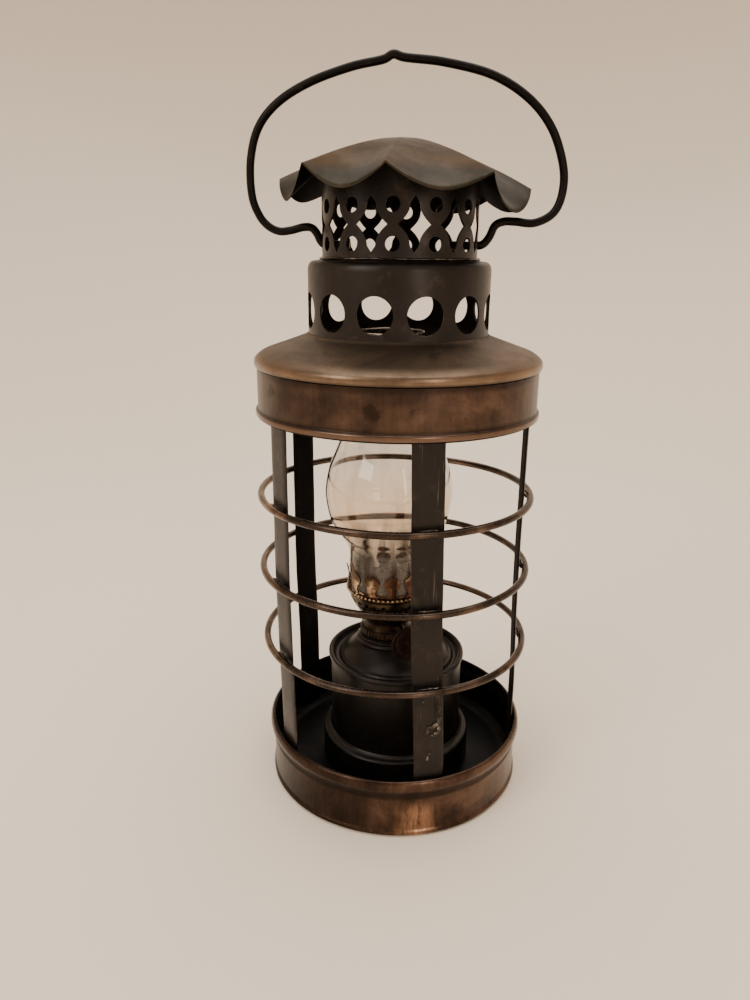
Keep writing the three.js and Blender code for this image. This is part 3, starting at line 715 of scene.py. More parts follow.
def base_band():
    outer = high("base_band").x - 1.6  # the wall, inside the rim bead
    top = high("base_band").z
    foot = fillet([
        (outer - 5, 0), (outer - 0.6, 0, 0.6), (outer + 0.9, 1.3, 0.8), (outer + 0.6, 2.6, 0.5),
        (outer, 3.4, 0.5), (outer - 0.1, 12, 3), (outer, top - 9.4),
    ], 8)
    bead = flat_curve([
        (outer, top - 9.2), (outer + 0.2, top - 7.9), (outer + 0.65, top - 6.5), (outer + 1.2, top - 5),
        (outer + 1.55, top - 3.4), (outer + 1.4, top - 1.8), (outer + 0.8, top - 0.5),
        (outer - 0.1, top - 0.05), (outer - 0.7, top - 0.5),
    ], 5)
    bm = shade_inner_faces(turned(thicken(foot + bead, SHEET), sides=WIDE, uneven=0.3, seed=3), below=False)
    finish_mesh("base_band_sheet", bm, [PAN, PAN_INSIDE], "cage", ["base_band"])


def base_floor():
    outer = high("base_floor").x
    top = high("base_floor").z
    line = fillet([(0.01, top), (outer - 3.4, top, 3), (outer, top + 3.6, 1)], 6)[:-1]
    under = [(outer - 0.1, top + 2.4), (outer - 4, top - SHEET), (0.01, top - SHEET)]
    bm = turned([*line, *under], sides=MEDIUM, uneven=0.2, seed=9)
    finish_mesh("base_floor_sheet", bm, PAN_INSIDE, "cage", ["base_floor"])


def strap_angle(node):
    lowest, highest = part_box(node)
    return math.atan2((lowest.y + highest.y) / 2, (lowest.x + highest.x) / 2)


STRAP_HALF_WIDTHS = [6.5, 7, 7, 7, 7]
STRAP_SLANTS = [3.7, 0, 0, 0, 0]  # degrees round the cage between a strap's top and its foot
STRAP_THICK = 1
STRAPS = [f"strap_{i}" for i in range(1, 6)]
STRAP_ANGLES = [strap_angle(node) for node in STRAPS]


def strap(index):
    """A flat strap with rolled edges, slightly bent along its length as cut sheet is."""
    node, angle, slant = STRAPS[index], STRAP_ANGLES[index], math.radians(STRAP_SLANTS[index])
    bottom, top = heights(node)
    outside = high("strap_2").x
    bm = bmesh.new()
    across = [-1, -0.97, -0.86, -0.5, 0, 0.5, 0.86, 0.97, 1]
    rows = 60
    grids = []
    for side in (0, 1):
        grid = []
        for j in range(rows + 1):
            z = bottom + (top - bottom) * j / rows
            bend = 0.22 * noise.noise(Vector((index * 5.1, z * 0.03, 0)))
            turn = Matrix.Rotation(angle + slant * (0.5 - j / rows), 3, "Z")
            line = []
            for a in across:
                crown = 0.12 * (1 - a * a)
                edge = 0.38 * STRAP_THICK * max(0, abs(a) - 0.9) / 0.1
                depth = outside - 0.35 - STRAP_THICK * side - bend * (1 if 0 < j < rows else 0)
                depth += (crown - edge) if side == 0 else (crown + edge)
                nick = 0.12 * noise.noise(Vector((index * 3.7 + a * 0.2, z * 0.11, 4)))
                half = STRAP_HALF_WIDTHS[index] + nick
                line.append(bm.verts.new(turn @ Vector((depth, a * half, z)) * MM))
            grid.append(line)
        grids.append(grid)
    sheet_faces(bm, *grids)
    shade_inner_faces(bm)
    finish_mesh(f"{node}_sheet", bm, [STRAP, INSIDE_SHADE], "cage", [node], sharp=50)


RING_WIRE = 1.55
HOOP_POINTS = 160
RING_NODES = ["guard_ring_lower", "guard_ring_middle", "guard_ring_upper"]
RING_RADIUS = radius_of("guard_ring_upper") - RING_WIRE - 0.2  # room for the hoops to wander


def guard_ring(node, seed):
    """A wire hoop that wanders a little, as a hand-bent one does."""
    z = (low(node).z + high(node).z) / 2
    points = []
    for turn in turns(HOOP_POINTS):
        way = polar(1, turn)
        out = RING_RADIUS + 0.16 * noise.noise(way * 1.7 + Vector((0, 0, seed)))
        rise = 0.35 * noise.noise(way * 1.3 + Vector((5, seed, 0)))
        points.append(way * out + Vector((0, 0, z + rise)))
    bm = wire(points, RING_WIRE, closed=True)
    finish_mesh(f"{node}_wire", bm, BRONZE, "cage", [node])


def blob(bm, centre, size, seed, stretch=(1, 1, 1), turn=0.0):
    """A soft lump of solder, flattened against what it sits on."""
    lump = bmesh.new()
    bmesh.ops.create_icosphere(lump, subdivisions=3, radius=1)
    spin = Matrix.Rotation(turn, 3, "Z")
    for vertex in lump.verts:
        rough = 1 + 0.28 * noise.noise(vertex.co * 1.6 + Vector((seed, 0, 0)))
        place = Vector([c * s for c, s in zip(vertex.co, stretch)]) * size * rough
        vertex.co = (spin @ place + centre) * MM
    merge(bm, lump)


# Drips below the lower hoop on the front strap: across, height, half-width, half-height.
DRIPS = [
    (3.6, 69.2, 1.5, 1.6), (3.9, 66.6, 1.0, 2.4), (3.3, 63.6, 0.9, 2.2), (4.1, 61.0, 1.1, 1.9),
    (3.4, 58.2, 0.9, 2.1), (4.3, 55.8, 1.0, 1.8), (3.0, 53.6, 1.6, 0.9), (0.6, 52.6, 1.9, 0.8),
    (-0.6, 50.8, 0.8, 1.5), (1.2, 48.6, 1.6, 0.8), (3.4, 49.4, 1.3, 1.1), (4.4, 51.6, 0.8, 1.5),
    (0.2, 39.8, 1.0, 0.8), (-0.8, 37.6, 0.7, 1.1), (-2.2, 65.2, 0.5, 0.6),
]


def strap_way(index, z):
    """The angle of a strap's middle at a height."""
    bottom, top = heights(STRAPS[index])
    return STRAP_ANGLES[index] + math.radians(STRAP_SLANTS[index]) * (0.5 - (z - bottom) / (top - bottom))


def solder_joints():
    """Where each ring crosses a strap, solder runs along the wire above and below it."""
    bm = bmesh.new()
    for i in range(len(STRAPS)):
        for j, ring in enumerate(RING_NODES):
            z = (low(ring).z + high(ring).z) / 2
            angle = strap_way(i, z)
            for rise, length, thick in ((1.1, 4.6, 0.62), (-1.2, 3.6, 0.5)):
                shift = random.uniform(-0.012, 0.012)
                reach = RING_RADIUS - 1.5
                centre = polar(reach, angle + shift, z + rise)
                size = random.uniform(0.9, 1.1)
                blob(bm, centre, size, i * 7 + j + rise, (0.75, length, thick), angle)
    face = high("strap_2").x - 0.1
    for across, z, wide, tall in DRIPS:
        way = strap_way(0, z)
        out = polar(1, way)
        centre = out * face + Vector((-out.y, out.x, 0)) * across + Vector((0, 0, z))
        blob(bm, centre, 1, z, (0.42, wide, tall), way)
    finish_mesh("solder_joints", bm, SOLDER, "cage", [])


def skirt_band():
    outer = high("skirt_band").x - 1.1
    bottom, top = heights("skirt_band")
    line = fillet([
        (outer - 0.8, bottom + 0.5), (outer - 0.2, bottom, 0.3), (outer + 1.1, bottom + 0.7, 0.7),
        (outer + 1.1, bottom + 2.9, 0.7), (outer, bottom + 3.6, 0.3), (outer, bottom + 5), (outer, top),
    ], 5)
    bm = shade_inner_faces(turned(thicken(line, SHEET), sides=WIDE, uneven=0.3, seed=21))
    finish_mesh("skirt_band_sheet", bm, [COPPER, INSIDE_SHADE], "cage", ["skirt_band"])


# ---- lid ----------------------------------------------------------------------------------------------


def shoulder_cover():
    outer = high("shoulder_cover").x
    bottom = low("shoulder_cover").z
    line = fillet([
        (outer - 2.0, bottom + 0.15), (outer - 0.7, bottom, 0.5), (outer, bottom + 1.6, 1.2),
        (outer - 0.3, bottom + 3.6, 1.2), (outer - 3.2, bottom + 6.0, 2), (46, bottom + 10.1, 3),
        (high("vent_drum").x + 1.6, bottom + 12.6, 1), (high("vent_drum").x + 0.35, bottom + 13.6),
    ], 6)
    bm = shade_inner_faces(turned(thicken(line, SHEET), sides=WIDE, uneven=0.3, seed=33))
    finish_mesh("shoulder_cover_sheet", bm, [SHOULDER, INSIDE_SHADE], "lid", ["shoulder_cover"])


def lid_collar():
    outer = high("lid_collar").x
    bottom, top = heights("lid_collar")
    line = fillet([(outer - 0.5, bottom), (outer, bottom + 1.2, 0.5), (outer, top)], 4)
    bm = turned(thicken(line, SHEET))
    finish_mesh("lid_collar_ring", bm, TIN, "lid", ["lid_collar"])


AIR_HOLES = 12
AIR_HOLE_PHASE = math.radians(21)
AIR_HOLE_RADIUS = 7.2
AIR_HOLE_RISE = 12  # above the drum's bottom edge


def vent_drum():
    outer, (bottom, top) = high("vent_drum").x, heights("vent_drum")
    neck = high("crown_gallery").x - 2
    line = fillet([
        (outer + 1.1, bottom), (outer + 0.7, bottom + 0.7, 0.3), (outer, bottom + 1.9, 0.8),
        (outer, top, 4.2), (neck, top),
    ], 8)
    bm = turned(thicken(line, SHEET), sides=WIDE, uneven=0.15, seed=40)
    outline = circle(0, bottom + AIR_HOLE_RISE, AIR_HOLE_RADIUS, 48)
    cutters = [prism(outline, outer - 5, outer + 5, turn) for turn in turns(AIR_HOLES, AIR_HOLE_PHASE)]
    drum = shade_inner_faces(cut(bm, cutters))
    finish_mesh("vent_drum_sheet", drum, [TIN, INSIDE_SHADE], "lid", ["vent_drum"])


LINKS = 12
LINK_DISC = 6.4
LINK_HOLE = 2.75
LINK_NECK = 4
LINK_LOWER = low("crown_gallery").z + 4.9
LINK_UPPER = LINK_LOWER + 13.8


def opening_outline(radius):
    """The gap between two links: concave sides round the discs, a cusp above and below."""
    pitch = 2 * math.pi * radius / LINKS
    slot = pitch / 2 - LINK_DISC
    waist = (pitch - LINK_NECK) / 2
    middle = (LINK_LOWER + LINK_UPPER) / 2
    right = flat_curve([
        (0, LINK_LOWER - 3.2), (slot * 0.42, LINK_LOWER - 2), (slot * 0.85, LINK_LOWER - 0.9),
        (slot, LINK_LOWER), (slot + 0.35, LINK_LOWER + 1.9), (slot + 1.5, LINK_LOWER + 3.9),
        (slot + 2.9, LINK_LOWER + 5.5), (waist, middle),
    ], 4)
    upper = [(u, 2 * middle - z) for u, z in right[-2::-1]]
    side = right + upper
    return side + [(-u, z) for u, z in side[-2:0:-1]]


def crown_gallery():
    """A pierced tube on a short foot, which stands on the drum and reaches up under the cap."""
    outer, bottom, top = high("crown_gallery").x, high("vent_drum").z, high("crown_gallery").z + 2.5
    line = fillet([(outer + 1.4, bottom + 0.1), (outer, bottom + 0.8, 0.5), (outer, top)], 5)
    bm = turned(thicken(line, SHEET), sides=WIDE, uneven=0.15, seed=44)
    cutters = []
    for turn in turns(LINKS):
        cutters.append(prism(opening_outline(outer), outer - 5, outer + 5, turn + math.pi / LINKS))
        for z in (LINK_LOWER, LINK_UPPER):
            cutters.append(prism(circle(0, z, LINK_HOLE, 24), outer - 5, outer + 5, turn))
    crown = shade_inner_faces(cut(bm, cutters))
    finish_mesh("crown_gallery_sheet", crown, [TIN, INSIDE_SHADE], "lid", ["crown_gallery"])


def crown_solder():
    """A ragged run of solder where the crown stands on the drum."""
    outer, z = high("crown_gallery").x + 0.75, high("vent_drum").z + 0.75
    points = []
    for turn in turns(WIDE):
        way = polar(1, turn)
        out, rise = 0.3 * noise.noise(way * 9), 0.35 * noise.noise(way * 13)
        points.append(way * (outer + out) + Vector((0, 0, z + rise)))
    bm = wire(points, 0.42, sides=10, closed=True)
    finish_mesh("crown_solder_run", bm, SOLDER, "lid", [], sharp=180)


# Where the cap's pinched ridges run, in degrees from the front towards +X, evenly enough for hand work.
RIDGES = [-1, 44, 93, 137, 181, 226, 273, 322]
RIDGE_DROPS = [13.4, 13.4, 15.8, 18.6, 19.6, 19, 16.8, 13.6]  # each ridge's end below the cap's top
RIDGE_REACHES = [51.6, 51.6, 51.6, 51.2, 51.6, 51, 48.6, 51.4]
LOBE_DROPS = [21.2, 26.4, 24.6, 25.4, 25.4, 25, 26.4, 22.4]  # the lowest point of the lobe after each ridge
# Below 1, a lobe is deepest nearer its first ridge. Above 1, it is deepest nearer its second.
LOBE_SKEWS = [1, 0.8, 1, 1, 1, 1, 1.35, 1]
LOBE_SET_BACK = 2.2  # a lobe's hem lies this much nearer the axis than the ridges beside it
CAP_TOP_RADIUS = 20  # how round the cap is at its middle
CAP_RISE = 0.3  # above the CAD cap's own top
CAP_LEAN = 0.045  # the cap sits lower on its right


def cap_lobe(angle):
    """Share of the way from one ridge to the next (0 to 1), and which lobe."""
    for i, ridge in enumerate(RIDGES):
        following = RIDGES[(i + 1) % len(RIDGES)] + (360 if i + 1 == len(RIDGES) else 0)
        turned_angle = (angle - ridge) % 360
        if turned_angle < following - ridge:
            return turned_angle / (following - ridge), i
    return 0, 0


def cap_point(share, angle):
    t, lobe = cap_lobe(angle)
    following = (lobe + 1) % len(RIDGES)
    ease = t * t * (3 - 2 * t)
    ridge_drop = RIDGE_DROPS[lobe] * (1 - ease) + RIDGE_DROPS[following] * ease
    ridge_reach = RIDGE_REACHES[lobe] * (1 - ease) + RIDGE_REACHES[following] * ease
    arch = math.sin(math.pi * t ** LOBE_SKEWS[lobe]) ** 0.9
    fold = arch * share ** 2.4
    r = share * (ridge_reach - LOBE_SET_BACK * arch * share)
    span = math.hypot(ridge_reach, CAP_TOP_RADIUS) - CAP_TOP_RADIUS
    fall = (math.hypot(r, CAP_TOP_RADIUS) - CAP_TOP_RADIUS) / span
    z = high("rain_cap").z + CAP_RISE - fall * ridge_drop - fold * (LOBE_DROPS[lobe] - ridge_drop)
    a = math.radians(angle)
    x, y = r * math.sin(a), -r * math.cos(a)
    z -= CAP_LEAN * x * share
    z += 0.5 * noise.noise(Vector((x, y, 3)) * 0.05) * share
    return Vector((x, y, z))


def rain_cap():
    around, rings = 384, 44
    bm = bmesh.new()
    layers = []
    for side in (0, 1):
        grid = []
        for j in range(1, rings + 1):
            share = (j / rings) ** 0.9
            grid.append([cap_point(share, 360 * k / around) for k in range(around)])
        tip = cap_point(0, 0)
        if side:
            tip.z -= SHEET
            for row in grid:
                for point in row:
                    point.z -= SHEET
        layers.append((bm.verts.new(tip * MM), [[bm.verts.new(p * MM) for p in row] for row in grid]))
    for side, (tip, grid) in enumerate(layers):
        for k in range(around):
            m = (k + 1) % around
            faces = [bm.faces.new((tip, grid[0][k], grid[0][m]))]
            for j in range(rings - 1):
                faces.append(bm.faces.new((grid[j][k], grid[j + 1][k], grid[j + 1][m], grid[j][m])))
            for face in faces:
                face.material_index = side
    for k in range(around):
        m = (k + 1) % around
        bm.faces.new((layers[0][1][-1][k], layers[0][1][-1][m], layers[1][1][-1][m], layers[1][1][-1][k]))
    finish_mesh("rain_cap_sheet", bm, [CAP, SOOT_AND_SHADE], "lid", ["rain_cap"], sharp=60)


BAIL_WIRE = 1.65
# The bent wire from end to end, (x, z), bent by hand and so not the same on both sides.
BAIL_ROUTE = [
    (-20.5, 243.1), (-30.2, 243), (-32.6, 244.2), (-34.2, 247.2), (-36.4, 249.4), (-40, 249.6),
    (-45, 248.4), (-50, 248), (-54.5, 250), (-58.2, 254.2), (-61, 262), (-61, 275), (-57.3, 287),
    (-49, 296), (-36, 303), (-20, 308), (-8, 310.2), (-3.7, 312), (1, 310.8), (16, 309), (34, 304.5),
    (48, 296.5), (57.5, 286), (62.8, 273), (63.4, 263), (60.5, 255.5), (53.5, 251.8), (46, 252.2),
    (41.4, 252.2), (38, 250.6), (36, 246.4), (33.6, 243.6), (30.2, 243), (20.5, 243.1),
]


def bail_handle():
    points = [Vector((x, 0.1 * noise.noise(Vector((x * 0.1, z * 0.1, 0))), z)) for x, z in BAIL_ROUTE]
    bm = wire(curve_through(points, 10), BAIL_WIRE, sides=20)
    finish_mesh("bail_wire", bm, BAIL, "bail", ["bail_handle"])


# ---- lamp ---------------------------------------------------------------------------------------------


def lamp_foot():
    outer, (bottom, top) = radius_of("lamp_foot"), heights("lamp_foot")
    tank = radius_of("font_tank") - 0.9
    line = fillet([
        (outer - 6, bottom + 0.1), (outer - 0.5, bottom, 0.5), (outer, bottom + 1.4, 0.4),
        (outer, top - 0.5, 3.4), (tank + 1.4, top, 1.2), (tank + 0.35, top + 1.1),
    ], 8)
    bm = turned(thicken(line, SHEET), LAMP_X, sides=MEDIUM, uneven=0.2, seed=51)
    finish_mesh("lamp_foot_sheet", bm, FONT, "lamp", ["lamp_foot"])


def font_tank():
    rim, (bottom, top) = radius_of("font_tank"), heights("font_tank")
    wall = rim - 1.1
    line = fillet([
        (0.01, bottom + 0.05), (wall, bottom, 1), (wall, top - 2.6, 0.3), (rim, top - 2.1, 0.6),
        (rim, top - 0.4, 0.7), (wall + 0.2, top + 0.05, 0.5), (wall - 0.7, top - 0.3, 0.3),
        (wall - 0.9, top - 3), (wall - 0.9, bottom + 1), (0.01, bottom + 0.9),
    ], 6)
    bm = turned(line, LAMP_X, sides=144, uneven=0.2, seed=52)
    finish_mesh("font_tank_sheet", bm, FONT, "lamp", ["font_tank"])


def font_top():
    outer, top = radius_of("font_top") + 0.15, high("font_top").z
    line = fillet([
        (outer, top - 5.5), (outer - 0.8, top - 7.6, 0.6), (outer - 2.4, top - 7.9, 0.8),
        (outer - 3.2, top - 6.6, 0.6), (outer - 4.4, top - 6.2, 1), (22, top - 3, 8), (17, top + 0.2, 6),
        (11.5, top + 1.9),
    ], 8)
    bm = turned(thicken(line, SHEET), LAMP_X, sides=MEDIUM, uneven=0.35, seed=53)
    finish_mesh("font_top_sheet", bm, TOP, "lamp", ["font_top"])


def fluted(bm, centre_x, start, end, count, depth, inner):
    """Presses flutes into what lies between two heights and outside a radius."""
    for vertex in bm.verts:
        point = vertex.co / MM
        flat = Vector((point.x - centre_x, point.y, 0))
        if start < point.z < end and flat.length > inner:
            angle = math.atan2(flat.y, flat.x)
            vertex.co += flat.normalized() * depth * math.cos(angle * count) * MM


def font_collar():
    """Three thin rings stepped inwards round the burner's screw."""
    bottom, rim, bore = low("font_collar").z, low("burner_cup").z + 1.65, 11
    line = fillet([
        (bore, bottom), (14.6, bottom - 1.2, 0.3), (15.2, bottom + 0.4, 0.5), (14.2, bottom + 1.3, 0.2),
        (13.6, bottom + 1.3, 0.2), (14, bottom + 2, 0.4), (13.2, bottom + 2.5, 0.2),
        (12.6, bottom + 2.3, 0.2), (12.9, bottom + 2.7, 0.2), (12.2, rim, 0.2), (bore, rim),
    ], 4)
    bm = turned(line, BURNER_X, sides=NARROW)
    finish_mesh("font_collar_ring", bm, TOP, "lamp", ["font_collar"])


def burner_cup():
    """A narrow screw cup with a milled band and a rolled shoulder under the basket."""
    bottom, top = heights("burner_cup")
    outer, bore = 11.8, 7.7
    line = fillet([
        (outer - 1, bottom + 1.9, 0.2), (outer + 0.5, bottom + 2.1, 0.3), (outer + 0.6, bottom + 5.0, 0.3),
        (outer - 0.6, bottom + 5.8, 0.5), (outer - 1.2, bottom + 8, 1), (outer - 0.4, top - 1.4, 0.8),
        (outer + 0.9, top, 0.2), (bore, top), (bore, top - 0.8), (outer - 1.6, top - 0.9, 0.2),
        (outer - 2.2, bottom + 5.2, 0.2), (outer - 1, bottom + 4.4, 0.2),
    ], 3)
    bm = turned(line, BURNER_X, sides=240)
    fluted(bm, BURNER_X, bottom + 2.3, bottom + 4.9, 40, 0.16, outer - 0.4)
    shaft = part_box("wick_shaft")
    centre = (shaft[0] + shaft[1]) / 2 / MM
    aside = (centre.x - BURNER_X) * math.cos(FEED_TURN) + centre.y * math.sin(FEED_TURN)
    hole = prism(circle(aside, centre.z, 1.25, 20), 6, 16, FEED_TURN, BURNER_X)
    finish_mesh("burner_cup_sheet", cut(bm, [hole]), CUP, "burner", ["burner_cup"])


BASKET_HOLES = 26


def burner_basket():
    outer, (bottom, top) = radius_of("burner_basket"), heights("burner_basket")
    line = fillet([
        (7.7, bottom), (12.4, bottom, 1), (14.6, bottom + 3.4, 3), (outer - 1.3, bottom + 8, 2.5),
        (outer - 1.0, top - 1.9, 0.5), (outer - 0.2, top - 1.1, 0.4), (outer - 0.2, top - 0.3, 0.4),
        (outer - 1, top - 0.1),
    ], 5)
    bm = turned(thicken(line, BURNER_SHEET), BURNER_X, sides=156)
    cutters = []
    for row, (z, size) in enumerate(((bottom + 3.0, 0.8), (bottom + 5.6, 1.05), (bottom + 8.3, 1.05))):
        for turn in turns(BASKET_HOLES, math.pi * (row % 2) / BASKET_HOLES):
            cutters.append(prism(circle(0, z, size, 10), 9, 21, turn, BURNER_X))
    finish_mesh("burner_basket_sheet", cut(bm, cutters), BRASS, "burner", ["burner_basket"])


LEAVES = 12
LEAF_THICK = 0.45
LEAF_PHASE = math.radians(12)
LEAF_TOP = 11.6  # above the gallery's seat
PRONGS = (1, 4, 7, 10)  # the leaves that carry a spring prong
# Half the width of a leaf at heights above the seat: a narrow stem, a round blade with a cusped tip.
LEAF_SHAPE = [
    (0, 3.4), (1.6, 2.6), (3.2, 1.9), (4.6, 2.1), (6.2, 3.1), (8, 3.7), (9.6, 3.3), (10.8, 2.1),
    (LEAF_TOP, 0.9),
]
PRONG_SHAPE = [*LEAF_SHAPE[:7], (10.6, 1.5), (12, 0.9), (14, 0.7), (15.6, 0.4)]


def leaf_reach(height, outer):
    """How far a leaf stands from the axis: it hugs the glass, then flares and curls out at its tip."""
    bulge = 0.5 * math.sin(min(height, 6) / 6 * math.pi)
    flare = 1.9 * (max(0, height - 4) / LEAF_TOP) ** 1.6
    return outer - 2.3 + bulge + flare


def shape_at(shape, height):
    for (z0, w0), (z1, w1) in zip(shape, shape[1:]):
        if height <= z1:
            t = (height - z0) / (z1 - z0)
            return w0 + (w1 - w0) * t * t * (3 - 2 * t)
    return shape[-1][1]


def prong_gallery():
    """A seat ring with twelve pierced-looking leaves round the glass, four of them drawn up into prongs."""
    bottom, outer = low("prong_gallery").z, radius_of("prong_gallery")
    seat = fillet([
        (12.6, bottom), (outer - 3.2, bottom, 0.6), (outer - 2.3, bottom + 0.7, 0.5),
        (outer - 2.2, bottom + 1.9),
    ], 4)
    bm = turned(thicken(seat, LEAF_THICK), BURNER_X, sides=144)
    across, rows = 8, 26
    for k, middle in enumerate(turns(LEAVES, LEAF_PHASE)):
        shape = PRONG_SHAPE if k in PRONGS else LEAF_SHAPE
        tall = shape[-1][0]
        bend = random.uniform(-0.25, 0.35)
        turn = middle + random.uniform(-0.02, 0.02)
        sheets = []
        for side in (0, 1):
            grid = []
            for j in range(rows + 1):
                height = 0.9 + (tall - 0.9) * j / rows
                half = shape_at(shape, height)
                reach = leaf_reach(height, outer) + bend * (height / tall) ** 2 - side * LEAF_THICK
                row = []
                for i in range(across + 1):
                    u = half * (2 * i / across - 1)
                    cusp = 0.5 * (u / 3.7) ** 2 * (height / tall) ** 3 * 2
                    way = turn + u / reach
                    place = polar(reach, way, bottom + height - cusp) + Vector((BURNER_X, 0, 0))
                    row.append(bm.verts.new(place * MM))
                grid.append(row)
            sheets.append(grid)
        sheet_faces(bm, *sheets)
    finish_mesh("prong_gallery_sheet", bm, GALLERY, "burner", ["prong_gallery"])


GALLERY_BEADS = 56


def gallery_beads():
    """A beaded wire round the seat of the gallery."""
    bottom, outer = low("prong_gallery").z, radius_of("prong_gallery")
    bm = bmesh.new()
    for turn in turns(GALLERY_BEADS):
        bead = bmesh.new()
        bmesh.ops.create_icosphere(bead, subdivisions=2, radius=0.8 * MM)
        place = polar(outer - 1.9, turn, bottom - 0.15) + Vector((BURNER_X, 0, 0))
        bmesh.ops.translate(bead, verts=bead.verts, vec=place * MM)
        merge(bm, bead)
    finish_mesh("gallery_beading", bm, BEADING, "burner", [], sharp=180)


def flame_spreader():
    outer, (bottom, top) = radius_of("flame_spreader"), heights("flame_spreader")
    line = fillet([
        (outer, bottom), (outer, bottom + 1.6, 0.5), (outer - 2, bottom + 4.5, 2), (6, top - 0.6, 3),
        (0.02, top),
    ], 6)
    bm = turned(thicken(line[:-1], BURNER_SHEET), BURNER_X, sides=NARROW)
    slot = bmesh.new()
    bmesh.ops.create_cube(slot, size=1)
    slot.transform(Matrix.Diagonal((0.005, 0.0132, 0.012, 1)))
    slot.transform(Matrix.Rotation(FEED_TURN, 4, "Z"))
    slot.transform(Matrix.Translation(Vector((BURNER_X, 0, top)) * MM))
    finish_mesh("flame_spreader_sheet", cut(bm, [slot]), BRASS, "burner", ["flame_spreader"])


def thumbwheel():
    """A knurled disc with a raised rim, a dished web and a small riveted boss."""
    lowest, highest = low("thumbwheel"), high("thumbwheel")
    centre = (lowest + highest) / 2
    radius = (highest.z - lowest.z) / 2
    outline = fillet([
        (0.02, 1.25), (1.5, 1.25, 0.3), (1.9, 0.95, 0.2), (5.6, 0.75, 0.5), (6.4, 1.2, 0.3),
        (radius - 0.3, 1.2, 0.3), (radius, 0.9, 0.2), (radius, 0.3, 0.2), (radius - 0.3, 0.02, 0.2),
        (6.2, 0.02, 0.3), (5.6, 0.3, 0.3), (1.9, 0.3, 0.2), (0.02, 0.2),
    ], 3)
    bm = turned(outline, 0, sides=240)
    fluted(bm, 0, 0.1, 1.15, 40, 0.14, radius - 0.5)
    stand = Matrix.Rotation(FEED_TURN, 4, "Z") @ Matrix.Rotation(math.radians(90), 4, "X")
    bm.transform(Matrix.Translation(centre * MM) @ stand @ Matrix.Translation((0, 0, -0.6 * MM)))
    finish_mesh("thumbwheel_disc", bm, KNOB, "knob", ["thumbwheel"], sharp=40)


def rolled_lip(start, end, rise):
    """A round edge from one face of the glass to the other."""
    middle, half = (start + end) / 2, (start - end) / 2
    return [
        middle + half * math.cos(t) + Vector((0, rise * math.sin(t)))
        for t in (math.pi * k / 6 for k in range(1, 6))
    ]


def glass_chimney():
    bottom, top = heights("glass_chimney")
    bulb = radius_of("glass_chimney")
    line = flat_curve([
        (17.5, bottom + 0.6), (17.5, bottom + 8), (17.5, bottom + 14), (17.75, bottom + 17),
        (18.5, bottom + 19.8), (20.1, bottom + 22.8), (22.8, bottom + 26.4), (26.5, bottom + 33),
        (bulb - 0.1, bottom + 42), (bulb - 0.1, bottom + 48), (26.5, bottom + 57), (22.3, bottom + 67.9),
        (18.2, bottom + 81), (15.6, bottom + 95), (14.5, bottom + 108), (14.3, top - 0.7),
    ], 6)
    inside = thicken(line, GLASS_WALL)[len(line):]
    lip = 0.7
    outline = [*line, *rolled_lip(line[-1], inside[0], lip), *inside, *rolled_lip(inside[-1], line[0], -lip)]
    bm = turned(outline, BURNER_X, sides=MEDIUM)
    finish_mesh("glass_chimney_shell", bm, GLASS, "chimney", ["glass_chimney"], sharp=180)


# ---- carried-over nodes -------------------------------------------------------------------------------


def keep(node, material):
    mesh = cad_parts[node].data
    mesh.materials.clear()
    mesh.materials.append(material)


# ---- stage --------------------------------------------------------------------------------------------


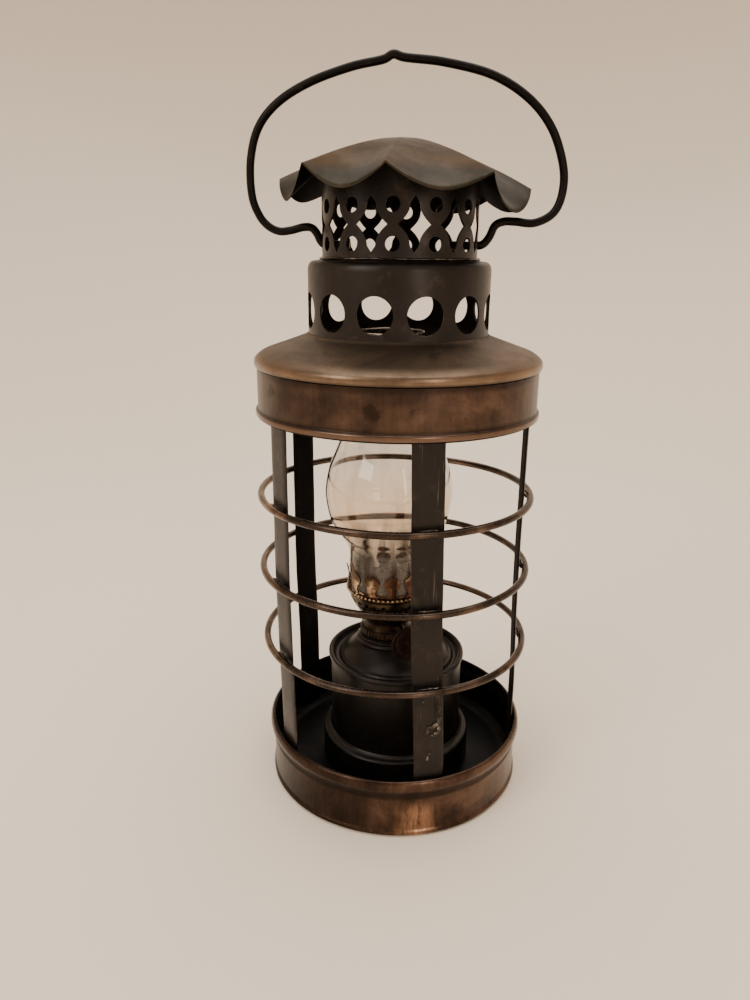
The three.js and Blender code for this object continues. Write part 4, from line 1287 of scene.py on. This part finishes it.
def pale_stage():
    """A pale floor, flat for a share of its reach, that curves up far away on every side."""
    reach, rise, flat = 2100, 2100, 0.3
    line = [(0.01, 0), (reach * flat, 0)]
    line += [
        (reach * (flat + (1 - flat) * math.sin(t)), rise * (1 - math.cos(t)))
        for t in (math.pi / 2 * k / 16 for k in range(1, 17))
    ]
    bm = turned([Vector(p) for p in line], sides=NARROW, closed=False)
    mesh = bpy.data.meshes.new("stage")
    bmesh.ops.recalc_face_normals(bm, faces=bm.faces)
    for face in bm.faces:
        face.smooth = True
    bm.to_mesh(mesh)
    bm.free()
    floor = in_scene("stage_floor", mesh)
    n = Nodes("stage_pale")
    mesh.materials.append(n.set(Base_Color=(0.93, 0.82, 0.69), Roughness=0.9))


LIT_HEIGHT = 0.16  # where every lamp points, on the axis


def area_light(name, place, size, power, colour=(1, 1, 1), spread=180):
    data = bpy.data.lights.new(name, "AREA")
    data.shape = "RECTANGLE"
    data.size, data.size_y = size
    data.energy = power
    data.color = colour
    data.spread = math.radians(spread)
    light = in_scene(name, data)
    light.location = place
    aim = Vector((0, 0, LIT_HEIGHT)) - Vector(place)
    light.visible_camera = False
    light.rotation_mode = "QUATERNION"
    light.rotation_quaternion = aim.to_track_quat("-Z", "Y")


def studio():
    world = bpy.data.worlds.new("studio")
    world.use_nodes = True
    world.node_tree.nodes["Background"].inputs[0].default_value = (0.9, 0.815, 0.725, 1)
    world.node_tree.nodes["Background"].inputs[1].default_value = 0.68
    bpy.context.scene.world = world
    area_light("key", (-0.75, -0.8, 0.8), (0.6, 0.7), 2.9, (1, 0.94, 0.86), spread=120)
    area_light("fill", (0.5, -0.85, 0.42), (0.22, 0.5), 0.47, (1, 0.92, 0.83), spread=100)
    area_light("back", (0.1, 1.1, 0.9), (1.4, 0.5), 1.6, (1, 0.95, 0.9))
    area_light("top", (0, 0.1, 1.3), (1.4, 1.4), 15, (1, 0.95, 0.89))


def build():
    base_band()
    base_floor()
    for index in range(len(STRAPS)):
        strap(index)
    for i, node in enumerate(RING_NODES):
        guard_ring(node, i * 3.1)
    solder_joints()
    skirt_band()
    shoulder_cover()
    lid_collar()
    vent_drum()
    crown_gallery()
    crown_solder()
    rain_cap()
    bail_handle()
    lamp_foot()
    font_tank()
    font_top()
    font_collar()
    burner_cup()
    burner_basket()
    prong_gallery()
    gallery_beads()
    flame_spreader()
    thumbwheel()
    glass_chimney()
    for node in ("wick_tube", "wick_shaft", "spur_wheel"):
        keep(node, BRASS)
    keep("wick", COTTON)
    pale_stage()
    studio()


build()
